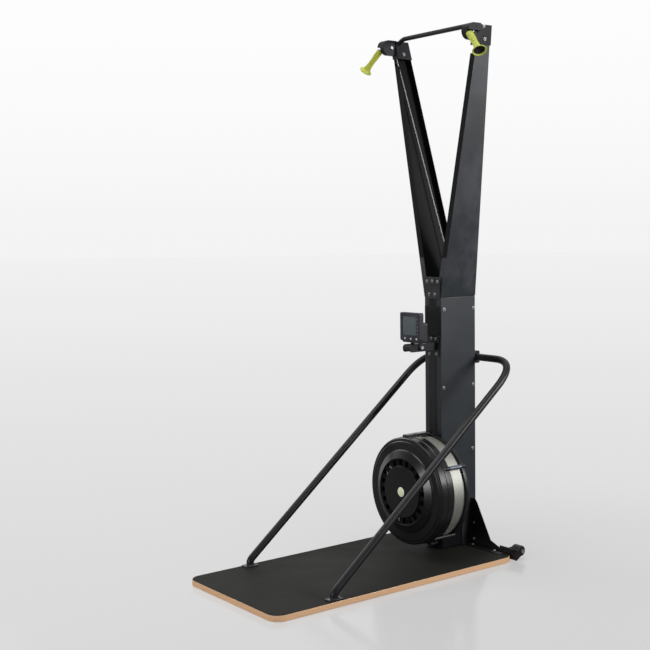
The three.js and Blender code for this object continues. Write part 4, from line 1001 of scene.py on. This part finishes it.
cord_grey = braided("drive_cord_braid", CORD_GREY, CORD_DIP_SHADE, 0.75)
top_reach = PULLEY_GROOVE + CORD_REACH
rise = PULLEY_CENTRE.z - GUIDE_Z
outward = math.degrees(math.atan2(PULLEY_CENTRE.x - PIN_X, rise))
for side, sign in SIDES.items():
    y = DRUM_Y[side]
    lean = math.degrees(math.atan2(y - PULLEY_CENTRE.y - top_reach, rise))
    route = [Vector((DRUM_REACH, y, FAN_Z))]
    route += arc((GUIDE_X, y, GUIDE_Z), GUIDE_REACH, 180, 180 - outward, 6)
    route += arc(PULLEY_CENTRE, top_reach, lean, OFF_PULLEY, 26, "yz")
    corner = Vector((PULLEY_CENTRE.x, HANDLE_TOP.y + MOUTH_IN, PULLEY_CENTRE.z - MOUTH_IN))
    arrive = HANDLE_TOP - 3 * CORD_RADIUS * HANDLE_AXIS
    leave = route[-1].lerp(corner, 0.6)
    mouth = corner.lerp(arrive, 0.5)
    curve = [leave.lerp(corner, share).lerp(corner.lerp(mouth, share), share)
             for share in [step / 10 for step in range(11)]]
    cord = swept([(sign * x, along, z) for x, along, z in route + curve], CORD_RADIUS, CORD_SIDES)
    piece("drive_cord_line_" + side, cord, cord_grey, "root", ["drive_cord_" + side])

    knot = HANDLE_TOP + KNOT_DEPTH * HANDLE_AXIS
    start = mouth.lerp(arrive, TAIL_STILL)
    tail = [mouth, mouth.lerp(arrive, TAIL_STILL / 2), start]
    tail += [mouth.lerp(arrive, TAIL_STILL + (1 - TAIL_STILL) * step / TAIL_STEPS)
             for step in range(1, TAIL_STEPS)]
    tail += [arrive.lerp(knot, step / 4) for step in range(5)]
    shape = swept([(sign * x, along, z) for x, along, z in tail], CORD_RADIUS, CORD_SIDES)
    end = finished("drive_cord_tail_" + side, shape, cord_grey, 40)
    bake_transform(end)

# Guide pulleys
# Below the fork of the arms two small pulleys turn the cords from the arms down into the column.
# Their pins stand on a zinc plated plate across the back of the column.
GUIDE_RADIUS = 0.014
GUIDE_WIDTH = 0.010


def painted(material, *nodes):
    """A finish on pieces that are as the model has them."""
    for node in nodes:
        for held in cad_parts[node].material_slots:
            held.material = material


for side, sign in SIDES.items():
    grooved("guide_pulley_wheel_" + side, "guide_pulley_" + side, GUIDE_RADIUS, GUIDE_GROOVE,
            GUIDE_WIDTH, "Y", (sign * GUIDE_X, DRUM_Y[side], GUIDE_Z), steps=56)
painted(zinc, "guide_bracket")

# Cord drums
# Two moulded spools side by side on the fan's shaft, one for each cord, with a one-way clutch
# inside each.
DRUM_RADIUS = 0.030
DRUM_WIDTH = 0.022
DRUM_BORE = 0.0083
DRUM_HUB = 0.013

for side in SIDES:
    grooved("drum_spool_" + side, "cord_drum_" + side, DRUM_RADIUS, DRUM_GROOVE, DRUM_WIDTH, "Y",
            (0, DRUM_Y[side], FAN_Z), DRUM_HUB, bore=DRUM_BORE)

# Return line
# An elastic cord that winds the drums back. It runs up the column, over a nylon pulley on a zinc
# plated bracket, and down again.
ELASTIC = (0.030, 0.030, 0.032)
# Painted shade in the dips between the strands of the elastic.
ELASTIC_DIP_SHADE = (0.010, 0.010, 0.010)
RETURN_Z = 0.870
RETURN_RADIUS = 0.026

elastic = braided("return_cord_braid", ELASTIC, ELASTIC_DIP_SHADE, 0.8)
return_y = (DRUM_Y["left"] + DRUM_Y["right"]) / 2
route = [(DRUM_REACH, DRUM_Y["left"], FAN_Z)]
route += arc((0, return_y, RETURN_Z), DRUM_REACH, 0, 180, 28)
route += [(-DRUM_REACH, DRUM_Y["right"], FAN_Z)]
cord = swept(route, CORD_RADIUS, CORD_SIDES)
piece("return_cord_line", cord, elastic, "root", ["return_cord"])
grooved("return_pulley_wheel", "return_pulley", RETURN_RADIUS, DRUM_GROOVE, PULLEY_WIDTH, "Y",
        (0, return_y, RETURN_Z), HUB_RADIUS)
painted(zinc, "return_bracket")

# Fan front cover
# A deep bell of black glass-filled nylon with a round intake: a disc in the middle, a ring of
# slots, a polished chamfer, a stepped rim and a spigot inside the band. Ears take the spacers.
FAN_AXIS = (0, 0, FAN_Z)
FAN_STEPS = 120
SLOT_INNER = 0.110
SLOT_OUTER = 0.133
SLOT_PITCH = 18
WIDE_SLOT = (-90, -63)
DISC_Y = 0.2172
COVER_EDGE_Y = 0.3062
COVER_WALL = 0.0025
BAND_RADIUS = 0.215
EAR_RADIUS = 0.009
EAR_REACH = BAND_RADIUS + PLAY + EAR_RADIUS
EAR_ANGLES = [31, 162, 234, 306]
EAR_FRONT = COVER_EDGE_Y - 0.022
TOP_EAR_FROM = -0.026
TOP_EAR_TO = 0.006
TOP_EAR_LOW = FAN_Z + BAND_RADIUS + PLAY
TOP_EAR_HIGH = TOP_EAR_LOW + 0.018
TOP_EAR_FRONT = 0.2482
TOP_EAR_EASE = 0.004
TOP_BOLT = (-0.004, COVER_EDGE_Y - 0.008, TOP_EAR_HIGH)
COVER_EASE = 0.0016
SPIGOT_RADIUS = 0.2130
COVER_PROFILE = [
    (0.0, DISC_Y), (0.106, DISC_Y), (0.1085, 0.2232), (SLOT_INNER, 0.2232), (SLOT_OUTER, 0.2232),
    (0.1350, 0.2232), (0.1372, 0.2190), (0.1395, 0.2192), (0.170, 0.2332), (0.1725, 0.2382),
    (0.205, 0.2382), (0.2075, 0.2412), (0.2175, 0.2412), (0.2225, 0.2462), (0.2225, 0.2737),
    (0.225, 0.2762), (0.225, COVER_EDGE_Y), (SPIGOT_RADIUS, COVER_EDGE_Y), (SPIGOT_RADIUS, 0.3150),
]
RING_MIDDLE = 0.5 * (SLOT_INNER + SLOT_OUTER)
RING_WIDTH = 0.030
RING_EDGE = 0.002
RING_SHINE = (0.12, 0.6)
FAN_BLACK = (0.0075, 0.0075, 0.0082)
FAN_WORN = (0.04, 0.04, 0.042)


def from_axis(tree):
    """How far a point lies from the fan's axis."""
    return measured(tree, "DISTANCE", scaled(tree, place_in(tree), (1, 0, 1)), FAN_AXIS)


fan_plastic = dressed("fan_nylon", FAN_BLACK, FAN_WORN, 0.27, wear=0.3, grain=0.0010,
                      depth=0.00001, uneven=0.08, shine=0.6)
tree = fan_plastic.node_tree
from_ring = maths(tree, "ABSOLUTE", maths(tree, "SUBTRACT", from_axis(tree), RING_MIDDLE))
off_ring = spread(tree, from_ring, (0.5 * RING_WIDTH, 0.5 * RING_WIDTH + RING_EDGE), RING_SHINE)
fed(tree, tree.nodes["Principled BSDF"].inputs["Specular IOR Level"], off_ring)


def softened(profile, reach, steps=3):
    """A profile whose corners are rounded, with its straight points kept."""
    path = [Vector(point) for point in profile]
    route = [path[0]]
    for before, corner, after in zip(path, path[1:], path[2:]):
        into, out = corner - before, after - corner
        if into.angle(out) < math.radians(12):
            route.append(corner)
            continue
        start = corner - into.normalized() * min(reach, 0.4 * into.length)
        end = corner + out.normalized() * min(reach, 0.4 * out.length)
        for step in range(steps + 1):
            share = step / steps
            route.append(start.lerp(corner, share).lerp(corner.lerp(end, share), share))
    return [*route, path[-1]]


def windows(shape, extra=()):
    """Takes out the faces of the ring of slots, and of any other ones given by their angles."""
    gone = []
    for face in shape.faces:
        middle = face.calc_center_median()
        reach = math.hypot(middle.x, middle.z - FAN_Z)
        angle = math.degrees(math.atan2(middle.z - FAN_Z, middle.x))
        wide = any(start < angle < end for start, end in extra)
        if SLOT_INNER < reach < SLOT_OUTER and (angle % SLOT_PITCH < SLOT_PITCH / 2 or wide):
            gone.append(face)
    bmesh.ops.delete(shape, geom=gone, context="FACES")
    return shape


def fan_place(reach, angle, y):
    """A point of the fan, by its distance from the axis and its angle in degrees."""
    turn = math.radians(angle)
    return Vector((reach * math.cos(turn), y, FAN_Z + reach * math.sin(turn)))


def pillar(radius, start, end, ease=0.0008, steps=32):
    """A round pillar along Y with eased ends."""
    profile = [(0, start), (radius, start), (radius, end), (0, end)]
    return turned(softened(profile, ease), "Y", (0, 0, 0), steps)


def eared(shape, start, end, top_start, ease):
    """Adds the ears round one half of the fan, and the block on its top."""
    for angle in EAR_ANGLES:
        ear = pillar(EAR_RADIUS, start, end)
        added(shape, ear, Matrix.Translation(fan_place(EAR_REACH, angle, 0)))
    low = Vector((TOP_EAR_FROM, top_start, TOP_EAR_LOW))
    high = Vector((TOP_EAR_TO, end, TOP_EAR_HIGH))
    added(shape, eased(block(low, high), ease, 4))


cover = turned(softened(COVER_PROFILE, COVER_EASE), "Y", FAN_AXIS, FAN_STEPS)
windows(cover, [WIDE_SLOT])
bmesh.ops.recalc_face_normals(cover, faces=cover.faces)
bmesh.ops.solidify(cover, geom=cover.faces[:], thickness=COVER_WALL)
eared(cover, EAR_FRONT, COVER_EDGE_Y, TOP_EAR_FRONT, TOP_EAR_EASE)
piece("fan_cover_bell", cover, fan_plastic, "root", ["fan_front_cover"],
      outward=False)
places = [fan_place(EAR_REACH, angle, EAR_FRONT) for angle in EAR_ANGLES]
bolts("fan_ear_bolts", places, TO_FRONT, radius=0.0048, height=0.003)
bolts("fan_top_bolt", [TOP_BOLT], TO_TOP, radius=0.0052, height=0.0032, washer=WASHER)

# Damper
# A thin ring behind the intake with the same slots. Its lever stands out through the widest slot,
# and turning it narrows the air's way in.
DAMPER_FRONT = 0.2260
DAMPER_WALL = 0.002
DAMPER_RADII = [0.102, SLOT_INNER, SLOT_OUTER, 0.1365]
LEVER_ANGLE = -76.5
LEVER_REACH = 0.1215
LEVER_TIP = 0.214
LEVER_RADIUS = 0.0025
LEVER_ROOT = DAMPER_FRONT + 0.001
LEVER_EASE = 0.0009

rings = [(radius, DAMPER_FRONT) for radius in DAMPER_RADII]
damper = windows(turned(rings, "Y", FAN_AXIS, FAN_STEPS))
for face in damper.faces:
    if face.normal.y > 0:
        face.normal_flip()
bmesh.ops.solidify(damper, geom=damper.faces[:], thickness=DAMPER_WALL)
lever = pillar(LEVER_RADIUS, LEVER_TIP, LEVER_ROOT, LEVER_EASE, 20)
added(damper, lever, Matrix.Translation(fan_place(LEVER_REACH, LEVER_ANGLE, 0)))
piece("damper_plate", damper, fan_plastic, "damper_ring", ["damper_ring"],
      outward=False)

# Perforated band
# Stainless strip with staggered round holes, rolled into a hoop between the two halves of the fan.
# The air leaves through it.
BAND_FRONT = COVER_EDGE_Y + PLAY
BAND_BACK = 0.3709
BAND_WALL = 0.0012
HOLE_COLUMNS = 258
HOLE_ROWS = 14
HOLE_WEB = 0.0014
STAINLESS = (0.50, 0.50, 0.455)
STAINLESS_DULL = (0.42, 0.42, 0.39)
# The inner face of the band, inside the dark fan, is painted near black as painted shade.
BAND_INSIDE_SHADE = (0.02, 0.02, 0.02)

stainless = dressed("stainless_strip", STAINLESS, STAINLESS_DULL, 0.55, wear=0.3, grain=0.0015,
                    depth=0.00001, metallic=0.9, uneven=0.1)
tree = stainless.node_tree
# Painted shade: the band turns near black on its inner face.
outer = spread(tree, from_axis(tree), (BAND_RADIUS - BAND_WALL, BAND_RADIUS - 0.3 * BAND_WALL))
base = tree.nodes["Principled BSDF"].inputs["Base Color"]
fed(tree, base, blended(tree, outer, BAND_INSIDE_SHADE, base.links[0].from_socket))
pitch = math.tau * BAND_RADIUS / HOLE_COLUMNS
side_length = pitch / math.sqrt(3)
row_step = 1.5 * side_length
band_middle = (BAND_FRONT + BAND_BACK) / 2
band = bmesh.new()
for row in range(HOLE_ROWS):
    along = band_middle + (row - (HOLE_ROWS - 1) / 2) * row_step
    for column in range(HOLE_COLUMNS):
        round_by = (column + 0.5 * (row % 2)) * pitch
        verts = []
        for corner in range(6):
            turn = math.radians(30 + 60 * corner)
            angle = (round_by + side_length * math.cos(turn)) / BAND_RADIUS
            verts.append(band.verts.new((
                BAND_RADIUS * math.cos(angle), along + side_length * math.sin(turn),
                FAN_Z + BAND_RADIUS * math.sin(angle),
            )))
        band.faces.new(verts)
bmesh.ops.remove_doubles(band, verts=band.verts, dist=0.0001)
rims = [edge for edge in band.edges if edge.is_boundary]
holes = bmesh.ops.inset_individual(band, faces=band.faces[:], thickness=HOLE_WEB,
                                   use_even_offset=True)
grown = set(holes["faces"])
bmesh.ops.delete(band, geom=[face for face in band.faces if face not in grown], context="FACES")
rims = [edge for edge in rims if edge.is_valid]
edge_strip = bmesh.ops.extrude_edge_only(band, edges=rims)
for vert in edge_strip["geom"]:
    if isinstance(vert, bmesh.types.BMVert):
        vert.co.y = BAND_FRONT if vert.co.y < band_middle else BAND_BACK
skin = bmesh.ops.extrude_face_region(band, geom=band.faces[:], use_keep_orig=True)["geom"]
for vert in skin:
    if isinstance(vert, bmesh.types.BMVert):
        by = 1 - BAND_WALL / BAND_RADIUS
        vert.co.x *= by
        vert.co.z = FAN_Z + by * (vert.co.z - FAN_Z)
piece("perforated_hoop", band, stainless, "root", ["fan_band"])

# Fan back housing
# The back half of the fan, moulded like the front one. Round spacers across the band tie the two
# halves together, one of them grey steel and the others black, and a thicker boss does so at
# the top.
BACK_RIM_Y = 0.3712
FAN_BACK_Y = 0.3892
BACK_PROFILE = [
    (0.030, 0.3842), (0.211, 0.3842), (0.211, BACK_RIM_Y), (0.225, BACK_RIM_Y), (0.225, 0.3842),
    (0.220, FAN_BACK_Y), (0.030, FAN_BACK_Y),
]
SPACER_GREY = (0.13, 0.145, 0.185)
SPACER_WORN = (0.22, 0.23, 0.27)
SPACER_STEP = 0.0006
BACK_EASE = 0.0015
BACK_EAR_EASE = 0.003

spacer_paint = dressed("spacer_steel", SPACER_GREY, SPACER_WORN, 0.34, wear=0.3, metallic=0.6)
profile = softened([BACK_PROFILE[-1], *BACK_PROFILE, BACK_PROFILE[0]], BACK_EASE)[1:-1]
back = turned(profile, "Y", FAN_AXIS, FAN_STEPS, closed=True)
eared(back, BACK_RIM_Y, FAN_BACK_Y, BAND_FRONT, BACK_EAR_EASE)
piece("fan_back_shell", back, fan_plastic, "root", ["fan_back_housing"],
      outward=False)
for angle in EAR_ANGLES:
    spacer = pillar(EAR_RADIUS - SPACER_STEP, BAND_FRONT, BACK_RIM_Y, SPACER_STEP)
    bmesh.ops.translate(spacer, verts=spacer.verts, vec=fan_place(EAR_REACH, angle, 0))
    # The first spacer is grey steel, and the others are black.
    bare = angle == EAR_ANGLES[0]
    finish, slot = (spacer_paint, "bright_steel") if bare else (black_paint, "black_paint")
    piece("fan_spacer_%d" % angle, spacer, finish, "root")

# Fan centre cap
# A pale green moulded cap with a soft dome, bare, snapped over the middle of the disc inside a thin
# dark collar.
CAP_COLOUR = (0.86, 0.92, 0.64)
CAP_WORN = (0.74, 0.78, 0.56)
CAP_RADIUS = 0.020
CAP_FACE = DISC_Y - PLAY
CAP_RISE = 0.005
CAP_SKIRT = 0.0012
CAP_STEPS = 12
CAP_ROUND = 0.8
COLLAR = [(0.0002, 0), (0.0002, 0.0014), (0.0016, 0.0014), (0.0028, 0)]

cap_plastic = dressed("cap_plastic", CAP_COLOUR, CAP_WORN, 0.32, wear=0.1, grain=0.001,
                      depth=0.00001, uneven=0.08)
dome = [(CAP_RADIUS, CAP_FACE), (CAP_RADIUS, CAP_FACE - CAP_SKIRT)]
for step in range(1, CAP_STEPS):
    turn = math.radians(90 * step / CAP_STEPS)
    dome.append((CAP_RADIUS * math.cos(turn) ** CAP_ROUND,
                 CAP_FACE - CAP_SKIRT - (CAP_RISE - CAP_SKIRT) * math.sin(turn)))
dome.append((0, CAP_FACE - CAP_RISE))
piece("cap_dome", turned(dome, "Y", FAN_AXIS), cap_plastic, "root", ["centre_cap"])
collar = [(CAP_RADIUS + out, CAP_FACE - proud) for out, proud in COLLAR]
piece("cap_collar", turned(collar, "Y", FAN_AXIS, closed=True), moulded_black, "root")

# Flywheel and drive
# A moulded wheel with 24 straight blades on a steel shaft. A plate behind the fan carries the front
# bearing, and a flanged one stands in the back of the column.
FLYWHEEL_RADIUS = 0.198
FLYWHEEL_BLACK = (0.05, 0.05, 0.052)
FLYWHEEL_WORN = (0.1, 0.1, 0.1)

dark_nylon = dressed("flywheel_nylon", FLYWHEEL_BLACK, FLYWHEEL_WORN, 0.5, wear=0.2,
                     depth=0.00003)
blades = rounder(copied("flywheel"), 1, FAN_AXIS, FLYWHEEL_RADIUS, 2)
eased(blades, 0.0005, 1, over=40)
piece("flywheel_blades", blades, dark_nylon, "flywheel", ["flywheel"])
painted(zinc, "drive_shaft", "front_bearing", "rear_bearing")
painted(black_paint, "fan_mount_plate")

# Braces
# Round steel tubes, bent above their foot plates and again behind the column, where both run into a
# clamp. Black powder coat, welded to plates that are bolted through the platform.
BRACE_RADIUS = 0.015
BRACE_X = 0.277
BRACE_FOOT_Y = -0.3508
BRACE_FOOT_Z = 0.0263
BRACE_KNEE = (-0.3108, 0.0806)
BRACE_CORNER = (0.6105, 0.823)
BRACE_BEND = 0.150
BRACE_STUB = 0.022
FOOT_TOP = 0.0283
FOOT_PLATE = (0.020, 0.032, 0.004)
FOOT_CORNER = 0.008
FOOT_BOLT_AT = 0.0245
WELD = [(0.0148, 0.0281), (0.0186, 0.0281), (0.0172, 0.0300), (0.0160, 0.0312), (0.0148, 0.0322)]
CLAMP_BOLTS = (0.031, 0.016)

for side, sign in SIDES.items():
    x = sign * BRACE_X
    route = bent([
        (x, BRACE_FOOT_Y, BRACE_FOOT_Z), (x, BRACE_FOOT_Y, BRACE_FOOT_Z + BRACE_STUB),
        (x, *BRACE_KNEE), (x, *BRACE_CORNER), (sign * PLAY, *BRACE_CORNER),
    ], BRACE_BEND, 16)
    brace = swept(route, BRACE_RADIUS, 32)
    wide, long, thick = FOOT_PLATE
    low = Vector((x - wide, BRACE_FOOT_Y - long, FOOT_TOP - thick))
    high = Vector((x + wide, BRACE_FOOT_Y + long, FOOT_TOP))
    added(brace, eased(block(low, high, FOOT_CORNER, 8), 0.0006, 2, over=50))
    added(brace, turned(WELD, "Z", (x, BRACE_FOOT_Y, 0), 40, closed=True))
    piece("brace_tube_" + side, brace, black_paint, "root", ["brace_" + side],
          crease=40)
    foot_bolts = [(x, BRACE_FOOT_Y + way * FOOT_BOLT_AT, FOOT_TOP) for way in (-1, 1)]
    bolts("brace_foot_bolts_" + side, foot_bolts, TO_TOP, radius=0.0042, height=0.0028)

low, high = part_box("brace_clamp")
eased_copy("brace_clamp_saddle", "brace_clamp", black_paint, 0.0010, over=40)
clamp_bolts = [
    (across_by * CLAMP_BOLTS[0], high.y, BRACE_CORNER[1] + up_by * CLAMP_BOLTS[1])
    for across_by in (-1, 1) for up_by in (-1, 1)
]
bolts("brace_clamp_bolts", clamp_bolts, TO_BACK, radius=0.005, height=0.003, washer=WASHER)

# Transport wheels
# Rubber tyres on moulded hubs, between the cheeks of steel brackets bolted behind the back corners
# of the platform. They meet the floor only when the machine is tipped back.
WHEEL_X = 0.286
WHEEL_Y = 0.6062
WHEEL_Z = 0.037
TYRE_PROFILE = [
    (0.0128, 0.0158), (0.0178, 0.0158), (0.0182, 0.0190), (0.0192, 0.0199), (0.0206, 0.0196),
    (0.0216, 0.0182), (0.0220, 0.0160), (0.0220, 0.0066), (0.0216, 0.0060), (0.0216, 0.0050),
    (0.0220, 0.0044),
]
HUB_PROFILE = [(0.0053, 0.0199), (0.0114, 0.0199), (0.0120, 0.0193), (0.0127, 0.0160)]
AXLE_RADIUS = 0.005
AXLE_INNER = 0.2605
AXLE_HEAD = 0.3118
AXLE_END = 0.3153
AXLE_HEAD_RADIUS = 0.0085
AXLE_SOCKET = (0.0034, 0.0018)
BOSS_RADIUS = 0.012
WEB_THICK = 0.004
WEB_BOLTS = [(0.2265, 0.036), (0.2465, 0.036)]
RUBBER = (0.020, 0.020, 0.021)
RUBBER_DUSTY = (0.085, 0.082, 0.076)

rubber = dressed("wheel_rubber", RUBBER, RUBBER_DUSTY, 0.62, wear=0.7, grain=0.0012, depth=0.00007)
for side, sign in SIDES.items():
    centre = (sign * WHEEL_X, WHEEL_Y, WHEEL_Z)
    tyre = turned(both_ways(TYRE_PROFILE), "X", centre, closed=True)
    piece("wheel_tyre_" + side, tyre, rubber, "wheel_" + side, ["wheel_" + side])
    hub = turned(both_ways(HUB_PROFILE), "X", centre, closed=True)
    piece("wheel_hub_" + side, hub, moulded_black, "wheel_" + side)
    socket, sunk = AXLE_SOCKET
    profile = softened([
        (0, AXLE_INNER), (AXLE_RADIUS, AXLE_INNER), (AXLE_RADIUS, AXLE_HEAD),
        (AXLE_HEAD_RADIUS, AXLE_HEAD), (AXLE_HEAD_RADIUS, AXLE_END), (socket, AXLE_END),
        (socket, AXLE_END - sunk), (0, AXLE_END - sunk),
    ], 0.0006)
    profile = [(radius, sign * along) for radius, along in profile]
    axle = turned(profile, "X", (0, WHEEL_Y, WHEEL_Z), 40)
    piece("wheel_bolt_" + side, axle, zinc, "root", ["wheel_axle_" + side])
    holder = "wheel_bracket_" + side
    cheeks = rounder(copied(holder), 0, (0, WHEEL_Y, WHEEL_Z), BOSS_RADIUS, 3)
    piece("wheel_fork_" + side, eased(cheeks, PLATE_EASE, over=40), black_paint, "root",
          [holder])
    web_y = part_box(holder)[0].y + WEB_THICK
    bolts("wheel_fork_bolts_" + side, [(sign * x, web_y, z) for x, z in WEB_BOLTS], TO_BACK,
          radius=0.0045, height=0.003)

# Display bracket
# A steel beam folded from sheet stands out from a flange on the column. The display tilts on a
# bolt through its nose, held by a knurled bright knob.
FLANGE_FACE_Y = 0.3959
FLANGE_BOLTS = [(-0.006, 0.913), (0.021, 0.913), (0.024, 0.850), (-0.019, 0.847)]
PIVOT = Vector((0, 0.3092, 0.883))
PIVOT_RADIUS = 0.0047
LUG_OUT = 0.0263
KNOB_START = 0.0266
KNOB_LENGTH = 0.009
KNOB_RADIUS = 0.0075
KNOB_FLUTES = 20

eased_copy("display_beam", "monitor_bracket", black_paint, 0.0009, over=40)
bolts("display_flange_bolts", [(x, FLANGE_FACE_Y, z) for x, z in FLANGE_BOLTS], TO_FRONT,
      radius=0.0050, height=0.003, washer=WASHER)
knob = turned(softened([
    (0, -LUG_OUT), (PIVOT_RADIUS, -LUG_OUT), (PIVOT_RADIUS, KNOB_START), (KNOB_RADIUS, KNOB_START),
    (KNOB_RADIUS, KNOB_START + KNOB_LENGTH), (0.0035, KNOB_START + KNOB_LENGTH),
    (0.0030, KNOB_START + KNOB_LENGTH - 0.001), (0, KNOB_START + KNOB_LENGTH - 0.001),
], 0.0009), "X", PIVOT, 4 * KNOB_FLUTES)
for vert in knob.verts:
    away = Vector((0, vert.co.y - PIVOT.y, vert.co.z - PIVOT.z))
    if vert.co.x > KNOB_START + 0.0005 and away.length > KNOB_RADIUS - 0.0003:
        flute = 0.5 - 0.5 * math.cos(KNOB_FLUTES * math.atan2(away.z, away.y))
        vert.co -= away.normalized() * 0.0006 * flute
piece("tilt_knob", knob, zinc, "monitor_knob", ["monitor_knob"])

# Display
# A moulded case in two halves, with a grey-green screen under a clear window. Three round buttons
# lie below the screen and five small ones beside it.
DISPLAY_Y = 0.2712
CASE = (0.012, 0.013, 0.020)
CASE_WORN = (0.08, 0.08, 0.10)
SCREEN_TINT = (0.036, 0.056, 0.060)
SCREEN_CLOUD = (0.043, 0.065, 0.069)
SCREEN_SMEAR = (70, 70, 30)
CLOUD_GRAIN = (24, 24, 24)
WINDOW_GLOSS = (0.12, 0.24)
WINDOW_COAT = (0.6, 0.06)
BOTTOM_BUTTONS = [-0.030, 0.006, 0.0408]
BOTTOM_BUTTON_Z = 0.921
BOTTOM_BUTTON_RADIUS = 0.0048
SIDE_BUTTON_X = 0.049
SIDE_BUTTON_Z = 0.942
SIDE_BUTTON_STEP = 0.015
SIDE_BUTTON_RADIUS = 0.0034
BUTTON_PROUD = 0.0025
BUTTON_FOOT = 0.2815
BUTTON_LILAC = (0.55, 0.53, 0.60)
LILAC_WORN = (0.5, 0.48, 0.54)
BUTTON_DARK = (0.13, 0.13, 0.16)
DARK_WORN = (0.2, 0.2, 0.23)

case = dressed("display_case", CASE, CASE_WORN, 0.36, wear=0.3, grain=0.0008, depth=0.00005,
               uneven=0.1)
buttons = [("bottom_%d" % (i + 1), x, BOTTOM_BUTTON_Z, BOTTOM_BUTTON_RADIUS, BUTTON_LILAC)
           for i, x in enumerate(BOTTOM_BUTTONS)]
buttons += [("side_%d" % (i + 1), SIDE_BUTTON_X, SIDE_BUTTON_Z + SIDE_BUTTON_STEP * i,
             SIDE_BUTTON_RADIUS, BUTTON_DARK) for i in range(5)]
front = copied("monitor_front")
for name, x, z, radius, colour in buttons:
    rounder(front, 1, (x, 0, z), radius + PLAY, 2)
piece("display_frame", eased(front, 0.0009, 3, over=40), case, "display",
      ["monitor_front"])
eased_copy("display_shell", "monitor_back", case, 0.0010, over=40,
           body="display")

glass, tree, shader = new_material("display_window", SCREEN_TINT, 0.16)
shader["Coat Weight"].default_value, shader["Coat Roughness"].default_value = WINDOW_COAT
smear = noise(tree, place_in(tree), SCREEN_SMEAR, detail=6.0, rough=0.6)
cloudy = spread(tree, noise(tree, place_in(tree), CLOUD_GRAIN), CLOUD_SPAN)
fed(tree, shader["Roughness"], spread(tree, smear, CLOUD_SPAN, WINDOW_GLOSS))
fed(tree, shader["Base Color"], blended(tree, cloudy, SCREEN_TINT, SCREEN_CLOUD))
low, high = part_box("monitor_screen")
outline = [(low.x, low.y, low.z), (high.x, low.y, low.z), (high.x, low.y, high.z),
           (low.x, low.y, high.z)]
screen = eased(slab(outline, Vector((0, high.y - low.y, 0)), 0.0012, 5), 0.0003, 2, over=50)
piece("display_window", screen, glass, "display", ["monitor_screen"])

finishes = {
    BUTTON_LILAC: dressed("button_rubber_pale", BUTTON_LILAC, LILAC_WORN, 0.5, wear=0.2),
    BUTTON_DARK: dressed("button_rubber_dark", BUTTON_DARK, DARK_WORN, 0.5, wear=0.2),
}
for name, x, z, radius, colour in buttons:
    front_y = DISPLAY_Y - BUTTON_PROUD
    foot_out, foot_front = radius + 0.0014, BUTTON_FOOT - 0.001
    profile = [(0, front_y), (0.55 * radius, front_y + 0.0002), (0.85 * radius, front_y + 0.0008),
               (radius, front_y + 0.0019), (radius, foot_front), (foot_out, foot_front),
               (foot_out, BUTTON_FOOT), (0, BUTTON_FOOT)]
    piece("display_button_" + name, turned(profile, "Y", (x, 0, z), 40), finishes[colour],
          "button_" + name, ["button_" + name])
